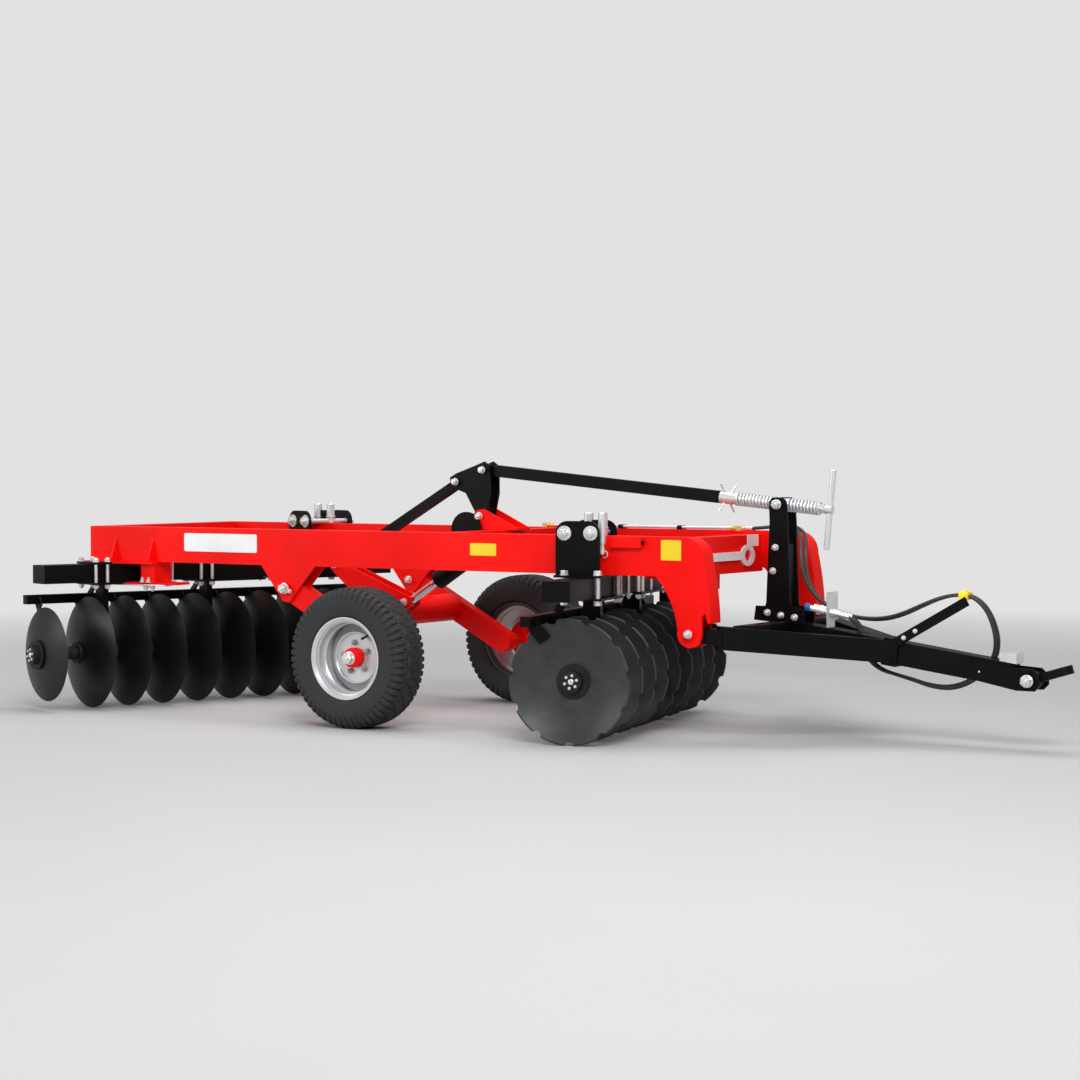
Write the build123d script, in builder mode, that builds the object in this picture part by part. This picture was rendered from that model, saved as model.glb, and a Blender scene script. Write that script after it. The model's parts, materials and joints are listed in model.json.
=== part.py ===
"""Trailed offset disc harrow: two raked disc gangs under a twin-rail frame that stands on a
hydraulic wheel axle and is towed by a hinged drawbar with a self-levelling linkage.

Millimetres. +X points to the hitch, +Y to the machine's left, +Z up. Z = 0 is the ground.
Stations along the machine are measured from the wheel axle, which lies at axle_x."""
import os
from math import atan2, cos, degrees, radians, sin, sqrt, tan

from build123d import *

os.makedirs("parts", exist_ok=True)

# ---------------------------------------------------------------- driving dimensions
axle_x = -650.0          # wheel axle at rest, from the frame's origin
pin_gap = 0.3            # running gap of a pin in its bore
side_gap = 5.0           # gap between a moving piece and the cheek beside it

# wheels
tyre_dia = 718.0
tyre_width = 245.0
rim_dia = 390.0          # tyre's inner diameter
rim_flange_dia = 420.0
rim_width = 218.0
wheel_y = 804.0          # half the track
wheel_disc_inset = 104.0  # wheel disc's outer face, inboard of the rim's outer edge
hub_dia = 112.0
spindle_dia = 56.0

# frame
rail_width = 100.0
rail_height = 190.0
rail_bottom = 805.0
rail_y = 568.0
rail_rear = axle_x - 1969.0
rail_front = axle_x + 1640.0
beam_width = 100.0
mid_beam_x = axle_x + 390.0
front_beam_drop = 17.0
plate = 12.0             # common plate thickness

# disc gangs
disc_dia = 610.0
disc_thick = 6.0
disc_sphere = 621.0      # radius of the disc's dished surface
disc_flat = 62.0         # radius of the flat centre
disc_pitch = 218.0
disc_shaft = 40.0        # square gang shaft
shaft_gap = 0.3
front_discs_count = 9
rear_discs_count = 9
notch_count = 11
notch_radius = 26.0
notch_depth = 19.0
end_disc_dia = 512.0
end_disc_pitch = 240.0
front_rake = 13.0        # gang angle from square to the direction of travel
rear_rake = 20.5
front_hub = (axle_x + 1337.0, -872.0)    # first disc's seat on the front gang shaft
rear_hub = (axle_x - 1892.0, -812.0)     # first large disc's seat on the rear gang shaft
gang_bar = 100.0         # height of the gang bars
bar_width = 140.0
bar_bottom = rail_bottom - plate - gang_bar
end_washer = 82.0        # radius of the washer on each end of a gang
end_cap = 52.0           # and of the cap on it
spool_radius = 58.0
spool_waist = 36.0
bearing_radius = 62.0
bearing_width = 56.0
hanger_shift = 150.0     # bearing from the disc seat behind it, on the hollow side
scraper_bar = 50.0
scraper_back = 187.0     # scraper bar behind the gang shaft
scraper_height = 290.0   # and above it

# wheel lift
arm_pivot = (axle_x - 602.0, 686.0)
arm_height = 120.0
cheek_gap = 76.0         # between the cheeks that hold a swinging arm
arm_width = cheek_gap - 2 * side_gap
pivot_pin = 20.0
wheel_axle = (axle_x, tyre_dia / 2)
lift_tube_dia = 152.0
lift_tube_share = 0.45   # place of the cross tube along the arm
lever_pin = (axle_x - 700.0, 790.0)
rod_pin = (axle_x - 236.0, 597.0)
barrel_pin = (axle_x + 285.0, 930.0)
barrel_dia = 96.0
rod_dia = 45.0
link_pin = 14.0          # radius of the linkage pins
eye_width = 58.0

# levelling linkage
crank_pin = (axle_x + 254.0, 1066.0)
crank_top = (axle_x + 267.0, 1310.0)
crank_rear = (axle_x + 97.0, 1247.0)
trunnion = (axle_x + 2005.0, 1146.0)
top_tube = 60.0
screw_radius = 18.0
handle_length = 390.0

# drawbar
hinge_pin = (axle_x + 1826.0, 533.0)
hitch_pin = (axle_x + 3316.0, 338.0)
leg_height = 110.0
leg_width = 80.0
pole_width = 100.0
pole_height = 112.0
pole_start = (axle_x + 2090.0, 515.0)    # middle of the pole's rear end
pole_slope = 7.8
tongue_hole = 17.0


# ---------------------------------------------------------------- helpers
def side_plate(outline, y, thickness, mode=Mode.ADD):
    """A flat plate square to Y, from its outline in X and Z, centred on y."""
    with BuildSketch(Plane.XZ.offset(-y)) as sheet:
        with BuildLine():
            Polyline(*outline, close=True)
        make_face()
    extrude(sheet.sketch, amount=thickness / 2, both=True, mode=mode)


def cross_pin(centre, y, length, radius, mode=Mode.ADD):
    """A round bar or bore along Y, centred on y."""
    with BuildSketch(Plane.XZ.offset(-y)) as section:
        with Locations(centre):
            Circle(radius)
    extrude(section.sketch, amount=length / 2, both=True, mode=mode)


def along(start, end):
    """Plane at start with its normal towards end, its x sideways and its y upwards."""
    run = Vector(*end) - Vector(*start)
    sideways = Vector(0, 0, 1).cross(run)
    if sideways.length < 1e-6:
        sideways = Vector(0, 1, 0)
    return Plane(origin=start, x_dir=sideways, z_dir=run)


def straight_bar(start, end, width, height, mode=Mode.ADD):
    """A rectangular bar from start to end."""
    with BuildSketch(along(start, end)) as section:
        Rectangle(width, height)
    extrude(section.sketch, amount=(Vector(*end) - Vector(*start)).length, mode=mode)


def round_bar(start, end, radius, mode=Mode.ADD):
    """A round bar from start to end."""
    with BuildSketch(along(start, end)) as section:
        Circle(radius)
    extrude(section.sketch, amount=(Vector(*end) - Vector(*start)).length, mode=mode)


def block(x, y, z, mode=Mode.ADD):
    """A box given by its (low, high) pair along each axis."""
    with Locations(((x[0] + x[1]) / 2, (y[0] + y[1]) / 2, (z[0] + z[1]) / 2)):
        Box(x[1] - x[0], y[1] - y[0], z[1] - z[0], mode=mode)


def at(pin, dx, dz):
    """A point of an outline, measured from a pin's centre."""
    return (pin[0] + dx, pin[1] + dz)


def save(piece, name):
    """Labels a finished piece and writes it as a STEP file."""
    piece.part.label = name
    export_step(piece.part, f"parts/{name}.step")


sides = (("right", -1), ("left", 1))


# ---------------------------------------------------------------- frame
def rail(side):
    """One side rail, a closed rectangular tube."""
    with BuildPart() as tube:
        block((rail_rear, rail_front),
              (side * rail_y - rail_width / 2, side * rail_y + rail_width / 2),
              (rail_bottom, rail_bottom + rail_height))
    return tube


rail_inside = rail_y - rail_width / 2
rail_outside = rail_y + rail_width / 2
rail_top = rail_bottom + rail_height

for name, side in sides:
    save(rail(side), f"rail_{name}")

with BuildPart() as rear_beam:
    block((rail_rear, rail_rear + beam_width), (-rail_inside, rail_inside),
          (rail_bottom, rail_top))
save(rear_beam, "rear_beam")

with BuildPart() as mid_beam:
    block((mid_beam_x - beam_width / 2, mid_beam_x + beam_width / 2),
          (-rail_inside, rail_inside), (rail_bottom, rail_top))
save(mid_beam, "mid_beam")

front_beam_face = rail_front - 13.0
with BuildPart() as front_beam:
    block((front_beam_face - beam_width, front_beam_face), (-rail_inside, rail_inside),
          (rail_bottom - front_beam_drop, rail_top - front_beam_drop))
save(front_beam, "front_beam")

# The ears carry the drawbar's hinge: two cheeks on each rail's end with a web round the front.
ear_plate = 16.0
ear_web = 15.0
ear_round = 66.0
ear_gap = rail_width - 2 * ear_plate
web_foot = hinge_pin[1] + 55.0


def ear_edge(inset, mode=Mode.ADD):
    """Top and front of an ear from the rail's end down to the web's foot, inset by a thickness."""
    corner = (axle_x + 1902 - inset, rail_top - 110)
    foot = (axle_x + 1941 - inset, web_foot)
    shoulder = (axle_x + 1790 - inset / 2, rail_top - inset)
    Line((rail_front - (5 if inset else 0), rail_top - inset), shoulder)
    ThreePointArc(shoulder, (axle_x + 1872 - inset, rail_top - 33 - 0.6 * inset), corner)
    ThreePointArc(corner, (axle_x + 1929 - inset, rail_top - 255), foot)
    return foot


def ear(side):
    """Drawbar ear: cheeks, front web and hinge pin."""
    y = side * rail_y
    lobe_rear, lobe_front = at(hinge_pin, -ear_round, 27), at(hinge_pin, ear_round, 86)
    with BuildPart() as cheeks:
        with BuildSketch(Plane.XZ.offset(-y)):
            with BuildLine():
                foot = ear_edge(0)
                Polyline(foot, (foot[0] - ear_web - 3, web_foot), (foot[0] - 30, web_foot + 47),
                         lobe_front, at(hinge_pin, ear_round, 0))
                ThreePointArc(at(hinge_pin, ear_round, 0), at(hinge_pin, 0, -ear_round),
                              at(hinge_pin, -ear_round, 0))
                Line(at(hinge_pin, -ear_round, 0), lobe_rear)
                ThreePointArc(lobe_rear, (axle_x + 1723, 684), (rail_front, rail_bottom))
                Line((rail_front, rail_bottom), (rail_front, rail_top))
            make_face()
        extrude(amount=rail_width / 2, both=True)
        with BuildSketch(Plane.XZ.offset(-y)):
            with BuildLine():
                foot = ear_edge(ear_web)
                Polyline(foot, (foot[0], 400), (rail_front - 5, 400),
                         (rail_front - 5, rail_top - ear_web))
            make_face()
        extrude(amount=ear_gap / 2, both=True, mode=Mode.SUBTRACT)
        cross_pin(hinge_pin, y, rail_width + 2 * plate, pivot_pin)
        cross_pin(hinge_pin, side * (rail_outside + plate / 2), plate, pivot_pin + 9)
    return cheeks


for name, side in sides:
    save(ear(side), f"ear_{name}")

# Brackets under the rails hold the wheel arms' pivots.
bracket_outline = [
    at(arm_pivot, -165, rail_bottom - arm_pivot[1]), at(arm_pivot, 190, rail_bottom - arm_pivot[1]),
    at(arm_pivot, 52, -40), at(arm_pivot, 20, -75), at(arm_pivot, -22, -68)]


def arm_bracket(side):
    """Two cheeks and the pin of one wheel arm."""
    y = side * rail_y
    with BuildPart() as cheeks:
        for edge in (-1, 1):
            side_plate(bracket_outline, y + edge * (cheek_gap + plate) / 2, plate)
        cross_pin(arm_pivot, y, rail_width + 2 * plate, pivot_pin)
    return cheeks


for name, side in sides:
    save(arm_bracket(side), f"arm_bracket_{name}")

# The tower carries the levelling crank on its pin above the mid beam.
crank_plate = 12.0
crank_inside = eye_width / 2 + side_gap + 2
crank_outside = crank_inside + crank_plate
tower_inside = crank_outside + side_gap
tower_plate = 10.0
tower_outline = [
    at(crank_pin, -26, -5), at(crank_pin, -20, 30), at(crank_pin, 30, 38),
    (axle_x + 490, rail_top + 12), (axle_x + 490, rail_top), (axle_x + 232, rail_top)]
with BuildPart() as tower:
    for edge in (-1, 1):
        side_plate(tower_outline, edge * (tower_inside + tower_plate / 2), tower_plate)
    cross_pin(crank_pin, 0, 2 * (tower_inside + tower_plate) + 2, link_pin)
    block((mid_beam_x - beam_width / 2, axle_x + 490),
          (-tower_inside - tower_plate, tower_inside + tower_plate),
          (rail_top, rail_top + plate))
save(tower, "tower")

# Black plates behind the mid beam hold the lift cylinder.
cylinder_inside = tower_inside + tower_plate + 2
guard_centre = (axle_x + 178.0, rail_top)
guard_radius = 93.0
beam_rear = mid_beam_x - beam_width / 2
cylinder_outline = [
    at(guard_centre, -guard_radius, 0), at(guard_centre, -guard_radius, -60),
    at(barrel_pin, -50, -50), (beam_rear, barrel_pin[1] - 70), (beam_rear, rail_top),
    at(guard_centre, guard_radius, 0)]
with BuildPart() as cylinder_bracket:
    for edge in (-1, 1):
        y = edge * (cylinder_inside + plate / 2)
        side_plate(cylinder_outline, y, plate)
        cross_pin(guard_centre, y, plate, guard_radius)
    cross_pin(barrel_pin, 0, 2 * (cylinder_inside + plate) + 10, pivot_pin)
save(cylinder_bracket, "cylinder_bracket")


# ---------------------------------------------------------------- gangs
def gang_plane(hub, rake):
    """Plane at a gang's first disc seat: normal along the shaft to the left, x upwards."""
    return Plane(origin=(hub[0], hub[1], disc_dia / 2), x_dir=(0, 0, 1),
                 z_dir=(sin(radians(rake)), cos(radians(rake)), 0))


front_gang = gang_plane(front_hub, -front_rake)
rear_gang = gang_plane(rear_hub, rear_rake)
front_seats = [k * disc_pitch for k in range(front_discs_count)]
rear_seats = [-end_disc_pitch] + [k * disc_pitch for k in range(rear_discs_count)]


def dish_height(radius, inset=0.0):
    """Height of the dished surface over the disc's seat, inset by a thickness."""
    return sqrt(disc_sphere ** 2 - disc_flat ** 2) - sqrt((disc_sphere - inset) ** 2 - radius ** 2)


def disc_blank(diameter, notched):
    """One disc on the XY plane, dished towards +Z, with its square hole."""
    rim = diameter / 2
    middle = (disc_flat + rim) / 2
    inner_flat = sqrt((disc_sphere - disc_thick) ** 2
                      - (sqrt(disc_sphere ** 2 - disc_flat ** 2) - disc_thick) ** 2)
    with BuildPart() as blank:
        with BuildSketch(Plane.XZ):
            with BuildLine():
                Line((0, 0), (disc_flat, 0))
                ThreePointArc((disc_flat, 0), (middle, dish_height(middle)),
                              (rim, dish_height(rim)))
                Line((rim, dish_height(rim)), (rim - 8, dish_height(rim - 8, disc_thick)))
                ThreePointArc((rim - 8, dish_height(rim - 8, disc_thick)),
                              (middle, dish_height(middle, disc_thick)),
                              (inner_flat, disc_thick))
                Line((inner_flat, disc_thick), (0, disc_thick))
                Line((0, disc_thick), (0, 0))
            make_face()
        revolve(axis=Axis.Z)
        with BuildSketch(Plane.XY.offset(-1)):
            Rectangle(disc_shaft + 2 * shaft_gap, disc_shaft + 2 * shaft_gap)
        extrude(amount=disc_thick + 2, mode=Mode.SUBTRACT)
        if notched:
            with BuildSketch(Plane.XY.offset(-1)):
                with PolarLocations(rim + notch_radius - notch_depth, notch_count):
                    Circle(notch_radius)
            extrude(amount=dish_height(rim) + 10, mode=Mode.SUBTRACT)
    return blank


def disc_row(gang, blanks, seats, hollow):
    """All discs of a gang; hollow is +1 or -1, the way the dishes open along the shaft."""
    flip = 0 if hollow > 0 else 180
    with BuildPart() as row:
        for k, (blank, seat) in enumerate(zip(blanks, seats)):
            turn = 180 + 90 * k
            add(blank.part.moved(gang.location * Location((0, 0, seat), (0, 0, turn))
                                 * Location((0, 0, 0), (flip, 0, 0))))
    return row


def seat_faces(seats, hollow):
    """The low and high face of each disc's flat centre, along the shaft."""
    return [(s, s + disc_thick) if hollow > 0 else (s - disc_thick, s) for s in seats]


# What stacks up past the last disc at each end of a gang: radius and thickness, from the disc.
end_stack = ((spool_radius, 6.0), (end_washer, 10.0), (end_cap, 30.0))


def gang_shaft(gang, seats, hollow):
    """Square shaft with spools between the discs and a washer and cap at each end."""
    faces = seat_faces(seats, hollow)
    low, high = faces[0][0] - 20, faces[-1][1] + 20
    with BuildPart() as shaft:
        with BuildSketch(gang.offset(low)):
            Rectangle(disc_shaft, disc_shaft)
        extrude(amount=high - low)
        for (_, start), (end, _) in zip(faces, faces[1:]):
            with BuildSketch(gang.offset(start)):
                Circle(spool_waist)
            extrude(amount=end - start)
            for flange in (start, end - 16):
                with BuildSketch(gang.offset(flange)):
                    Circle(spool_radius)
                extrude(amount=16)
        for face, outwards in ((faces[0][0], -1), (faces[-1][1], 1)):
            for radius, thickness in end_stack:
                with BuildSketch(gang.offset(face)):
                    Circle(radius)
                extrude(amount=outwards * thickness)
                face += outwards * thickness
    return shaft


# Saddles clamp each gang bar to one rail and pivot it there.
saddle_width = 225.0
saddle_rise = 73.0
saddle_span = 290.0
saddle_lip = 30.0        # base plate past the saddle's side plates
saddle_bolt = 67.0       # tie bolts from the saddle's middle
saddle_pin = 15.0        # radius of the drop pins beside the rail
clamp_plate = 12.0
strap_width = 40.0
strap_offset = saddle_span / 2 + 15      # lower straps from the saddle's middle
strap_clearance = 10.0
strap_overhang = 40.0    # straps and feet past the bar's faces
bar_bolt = 11.0          # radius of the bolts beside the bar
bolt_off = 16.0          # their centres from the bar's faces
hanger_bolt = 9.0        # radius of the hangers' clamp bolts
bolt_end = 13.0          # what stands past the plates of each


def rail_crossing(gang, y, ahead=0.0):
    """Distance along the gang's shaft at which a line ahead of it passes under y."""
    return (y - gang.origin.Y - gang.y_dir.Y * ahead) / gang.z_dir.Y


hanger_plate = (90.0, 34.0)      # leg's size across and along the shaft
foot_low = 127.0                 # full foot's reach before the bearing and past it
foot_high = 300.0
foot_least = 47.0                # what a foot needs past the bearing on either side
top_clamp = 110.0                # length of the clamp plate on the bar
leg_top = bar_bottom - disc_dia / 2
bar_level = leg_top + gang_bar   # top of the bar over the shaft


def hanger_places(seats, hollow, shares, taken):
    """Shaft positions of the bearings: of the gaps between full discs, those nearest to the
    given shares of the row whose feet clear what else is bolted to the bar."""
    row = seats[-1]
    gaps = [seat + hanger_shift if hollow > 0 else seat + disc_pitch - hanger_shift
            for seat in seats[:-1] if seat >= 0]
    clear = [place for place in gaps
             if all(place < start - foot_least or place > end + foot_least for start, end in taken)]
    return [min(clear, key=lambda place: abs(place - share * row)) for share in shares]


def foot_ends(place, taken):
    """Ends of a hanger's foot along the bar, as far as what is bolted there leaves room."""
    low = max([place - foot_low] + [end + strap_clearance for _, end in taken if end < place])
    high = min([place + foot_high] + [start - strap_clearance for start, _ in taken if start > place])
    return low, high


def hangers(gang, places, taken, under_saddle, ahead):
    """Bearing hangers: a housing round the spool, a leg and a foot under the gang bar, and a
    clamp plate over the bar with its bolts where the foot is whole and clear of the saddle."""
    across, thick = hanger_plate
    with BuildPart() as legs:
        for place in places:
            with BuildSketch(gang.offset(place - bearing_width / 2)):
                Circle(bearing_radius)
            extrude(amount=bearing_width)
            with BuildSketch(gang.offset(place - thick / 2)):
                with Locations((leg_top / 2, 0)):
                    Rectangle(leg_top, across)
            extrude(amount=thick)
            low, high = foot_ends(place, taken)
            with BuildSketch(gang.offset(low)):
                with Locations((leg_top - plate / 2, ahead)):
                    Rectangle(plate, bar_width + 2 * strap_overhang)
            extrude(amount=high - low)
            beside_saddle = low > under_saddle[1] or low + top_clamp < under_saddle[0]
            if low > place - foot_low or not beside_saddle:
                continue
            with BuildSketch(gang.offset(low)):
                with Locations((bar_level + plate / 2, ahead)):
                    Rectangle(plate, bar_width + 2 * bolt_off + 30)
            extrude(amount=top_clamp)
            for across_bar in (-bar_width / 2 - bolt_off, bar_width / 2 + bolt_off):
                for bolt in (low + 20, low + top_clamp - 20):
                    end = leg_top - plate - bolt_end
                    foot = gang.from_local_coords(Vector(end, ahead + across_bar, bolt))
                    head = foot + Vector(0, 0, 1)
                    with BuildSketch(along(tuple(foot), tuple(head))):
                        Circle(hanger_bolt)
                    extrude(amount=gang_bar + 2 * (plate + bolt_end))
        for place in places:
            with BuildSketch(gang.offset(place - bearing_width)):
                Circle(spool_waist + pin_gap)
            extrude(amount=2 * bearing_width, mode=Mode.SUBTRACT)
    return legs


def bar_over(gang, low, high, ahead):
    """The rectangular gang bar above a gang's shaft."""
    with BuildPart() as bar:
        with BuildSketch(gang.offset(low)):
            with Locations((leg_top + gang_bar / 2, ahead)):
                Rectangle(gang_bar, bar_width)
        extrude(amount=high - low)
    return bar


def scrapers(gang, low, high, seats, hollow, places, ahead):
    """Scraper bar behind a gang, with its arms and one blade in the hollow of each disc."""
    reach = sqrt(scraper_back ** 2 + scraper_height ** 2)
    lean = degrees(atan2(-scraper_back, scraper_height))
    radial = Plane(origin=gang.origin, z_dir=gang.z_dir,
                   x_dir=gang.x_dir.rotate(Axis((0, 0, 0), gang.z_dir), lean))
    bar_back = ahead - bar_width / 2
    with BuildPart() as bar:
        with BuildSketch(gang.offset(low)):
            with Locations((scraper_height, -scraper_back)):
                Rectangle(scraper_bar, scraper_bar)
        extrude(amount=high - low)
        for seat in seats:
            with BuildSketch(Plane(origin=radial.origin, x_dir=radial.x_dir,
                                   z_dir=radial.x_dir.cross(radial.z_dir))):
                blade = [(radius, seat + hollow * (dish_height(radius, disc_thick) + lift))
                         for radius, lift in ((296, 9), (232, 9), (232, 16), (296, 16))]
                with BuildLine():
                    Polyline(*blade, close=True)
                make_face()
                stalk = dish_height(296, disc_thick) + 12.5
                with Locations(((288 + reach) / 2, seat + hollow * stalk)):
                    Rectangle(reach - 288, 7)
            extrude(amount=32, both=True)
        for place in places:
            with BuildSketch(gang.offset(place + 18)):
                with BuildLine():
                    Polyline((leg_top + 30, bar_back), (leg_top + 90, bar_back),
                             (scraper_height + 25, -scraper_back - 25),
                             (scraper_height + 25, -scraper_back + 25),
                             (leg_top + 12, bar_back - strap_overhang - 6), close=True)
                make_face()
            extrude(amount=12)
    return bar


def saddle(gang, middle, bar_ahead, ahead):
    """Two tall plates astride the rail on a base plate, tied above it and bolted round the bar."""
    base = rail_bottom - plate - gang.origin.Z
    top = rail_top + saddle_rise - gang.origin.Z
    bolts = rail_top + 14 - gang.origin.Z
    half = saddle_span / 2
    base_rear = min(ahead - saddle_width / 2, bar_ahead - bar_width / 2 - strap_overhang)
    base_front = max(ahead + saddle_width / 2, bar_ahead + bar_width / 2 + strap_overhang)
    with BuildPart() as clamp:
        with BuildSketch(gang.offset(middle - half - saddle_lip)):
            with Locations((base + plate / 2, (base_rear + base_front) / 2)):
                Rectangle(plate, base_front - base_rear)
        extrude(amount=saddle_span + 2 * saddle_lip)
        for edge in (-half, half - clamp_plate):
            with BuildSketch(gang.offset(middle + edge)) as sheet:
                with Locations(((base + top) / 2, ahead)):
                    Rectangle(top - base, saddle_width)
                fillet(sheet.vertices().group_by(Axis.X)[-1], 60)
            extrude(amount=clamp_plate)
        for offset in (-saddle_bolt, saddle_bolt):
            with BuildSketch(gang.offset(middle - half - 14)):
                with Locations((bolts, ahead + offset)):
                    Circle(13)
            extrude(amount=saddle_span + 28)
        lower = bar_bottom - plate - gang.origin.Z
        for along_bar in (-strap_offset, strap_offset):
            with BuildSketch(gang.offset(middle + along_bar - strap_width / 2)):
                with Locations((lower + plate / 2, bar_ahead)):
                    Rectangle(plate, bar_width + 2 * strap_overhang)
            extrude(amount=strap_width)
            for offset in (-bar_width / 2 - bolt_off, bar_width / 2 + bolt_off):
                foot = gang.from_local_coords(Vector(lower - 18, bar_ahead + offset, middle + along_bar))
                head = foot + Vector(0, 0, base + plate + 18 - (lower - 18))
                round_bar(tuple(foot), tuple(head), bar_bolt)
    return clamp


# The angle side: a flange and a post under the other rail, and the plate that pins the angle.
post_length = 96.0
post_width = 140.0
post_ahead = 263.0       # post in front of the bar's crossing, along the rail
flange_reach = (189.0, 321.0)    # flange behind the crossing and ahead of it
flange_outside = 48.0    # past the rail's outer face
gusset_places = (14.0, 280.0)
arc_start_ahead = 10.0           # slotted plate's start ahead of the crossing
arc_plate_width = 120.0


def angle_plate(gang, side, arc_length):
    """Flange under the rail with its gussets, the post ahead of the bar and the slotted plate."""
    crossing = gang.from_local_coords(Vector(0, 0, rail_crossing(gang, side * rail_y))).X
    outer = side * (rail_outside + flange_outside)
    post_x = crossing + post_ahead
    arc_start = crossing + arc_start_ahead
    with BuildPart() as mount:
        block((crossing - flange_reach[0], crossing + flange_reach[1]),
              sorted((side * (rail_inside - 8), outer)), (rail_bottom - plate, rail_bottom))
        block((post_x - post_length / 2, post_x + post_length / 2),
              sorted((side * rail_y - post_width / 2, side * rail_y + post_width / 2)),
              (bar_bottom - plate, rail_bottom - plate))
        block((arc_start, arc_start + arc_length),
              sorted((side * rail_y - arc_plate_width / 2, side * rail_y + arc_plate_width / 2)),
              (bar_bottom - plate, bar_bottom))
        for place in gusset_places:
            with BuildSketch(Plane.YZ.offset(crossing + place)):
                with BuildLine():
                    Polyline((side * rail_outside, rail_bottom), (outer, rail_bottom),
                             (outer, rail_bottom + 16), (side * rail_outside, rail_top - 62), close=True)
                make_face()
            extrude(amount=plate)
    return mount


def arc_plate_span(gang, side):
    """What the slotted plate takes of the length under the bar."""
    start = gang.from_local_coords(Vector(0, 0, rail_crossing(gang, side * rail_y))).X
    start += arc_start_ahead
    corners = [gang.to_local_coords(Vector(x, side * rail_y + edge * arc_plate_width / 2, 0)).Z
               for x in (start, start + bar_width + strap_overhang) for edge in (-1, 1)]
    return min(corners), max(corners)


gang_table = (
    # name, plane, notched discs, seats, hollow side, hanger shares of the row,
    # bar's reach past the first and last disc, rail with the saddle, how far the bar's and the
    # saddle's middles lie ahead of the shaft, and the slotted plate's length along the rail
    ("front", front_gang, [True] * front_discs_count, front_seats, -1, (0.16, 0.54, 0.91),
     (212.0, 181.0), -1, -20.0, -43.0, 300.0),
    ("rear", rear_gang, [False] * (rear_discs_count + 1), rear_seats, 1, (0.09, 0.46, 0.84),
     (16.0, 241.0), 1, 50.0, 100.0, 440.0),
)
notched_disc = disc_blank(disc_dia, True)
plain_disc = disc_blank(disc_dia, False)
end_disc = disc_blank(end_disc_dia, False)
for (name, gang, notched, seats, hollow, shares, (reach_low, reach_high), saddle_side,
     bar_ahead, saddle_ahead, arc_length) in gang_table:
    low, high = seats[0] - reach_low, seats[-1] + reach_high
    blanks = [notched_disc if n else plain_disc for n in notched]
    if name == "rear":
        blanks[0] = end_disc
    middle = rail_crossing(gang, saddle_side * rail_y, saddle_ahead)
    taken = [(middle + edge - strap_width / 2, middle + edge + strap_width / 2)
             for edge in (-strap_offset, strap_offset)]
    taken.append(arc_plate_span(gang, -saddle_side))
    places = hanger_places(seats, hollow, shares, taken)
    save(disc_row(gang, blanks, seats, hollow), f"{name}_discs")
    save(gang_shaft(gang, seats, hollow), f"{name}_gang_shaft")
    saddle_half = saddle_span / 2 + saddle_lip
    under_saddle = (middle - saddle_half, middle + saddle_half)
    save(hangers(gang, places, taken, under_saddle, bar_ahead), f"{name}_hangers")
    save(bar_over(gang, low, high, bar_ahead), f"{name}_gang_bar")
    save(scrapers(gang, low + 34, high - 60, seats, hollow, places, bar_ahead), f"{name}_scrapers")
    save(saddle(gang, middle, bar_ahead, saddle_ahead), f"{name}_saddle")
    save(angle_plate(gang, -saddle_side, arc_length), f"{name}_angle_plate")


# ---------------------------------------------------------------- wheel lift
arm_run = (wheel_axle[0] - arm_pivot[0], wheel_axle[1] - arm_pivot[1])
lift_tube = (arm_pivot[0] + lift_tube_share * arm_run[0], arm_pivot[1] + lift_tube_share * arm_run[1])
arm_inside = rail_y - arm_width / 2
arm_outside = rail_y + arm_width / 2
lever_inside = eye_width / 2 + side_gap
lever_plate = 14.0
lever_outline = [
    at(rod_pin, 34, -22), at(rod_pin, 38, 24), at(lever_pin, 42, 12), at(lever_pin, 6, 44),
    at(lever_pin, -42, 14), at(lever_pin, -36, -26), at(lift_tube, -100, -30), at(lift_tube, -30, -70)]
with BuildPart() as lift_cross_tube:
    cross_pin(lift_tube, 0, 2 * arm_inside, lift_tube_dia / 2)
    for edge in (-1, 1):
        side_plate(lever_outline, edge * (lever_inside + lever_plate / 2), lever_plate)
    for edge in (-1, 1):
        for pin in (rod_pin, lever_pin):
            cross_pin(pin, edge * (lever_inside + lever_plate + 5), 10, link_pin + 8)
save(lift_cross_tube, "lift_cross_tube")

rim_face = wheel_y + rim_width / 2
disc_face = rim_face - wheel_disc_inset
spindle_end = disc_face + 50.0


def wheel_arm(side):
    """Trailing wheel arm with its stub axle."""
    y = side * rail_y
    with BuildPart() as arm:
        straight_bar((arm_pivot[0], y, arm_pivot[1]), (wheel_axle[0], y, wheel_axle[1]),
                     arm_width, arm_height)
        cross_pin(arm_pivot, y, arm_width, arm_height / 2)
        cross_pin(wheel_axle, y, arm_width, arm_height / 2)
        cross_pin(arm_pivot, y, arm_width + 2, pivot_pin + pin_gap, mode=Mode.SUBTRACT)
        cross_pin(wheel_axle, side * (arm_outside + spindle_end) / 2,
                  spindle_end - arm_outside, spindle_dia / 2)
        cross_pin(wheel_axle, side * (arm_outside + 22), 44, spindle_dia / 2 + 18)
    return arm


for name, side in sides:
    save(wheel_arm(side), f"wheel_arm_{name}")


def wheel_plane(side):
    """Plane at the middle of a wheel, its normal pointing outwards."""
    return Plane(origin=(wheel_axle[0], side * wheel_y, wheel_axle[1]), x_dir=(side, 0, 0),
                 z_dir=(0, side, 0))


def turned(profile, side):
    """Revolves a profile of (radius, outward distance from the wheel's middle)."""
    plane = wheel_plane(side)
    with BuildPart() as ring:
        with BuildSketch(Plane(origin=plane.origin, x_dir=(0, 0, 1),
                               z_dir=plane.z_dir.cross(Vector(0, 0, -1)))):
            with BuildLine():
                Polyline(*profile, close=True)
            make_face()
        revolve(axis=Axis(plane.origin, plane.z_dir))
    return ring


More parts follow.
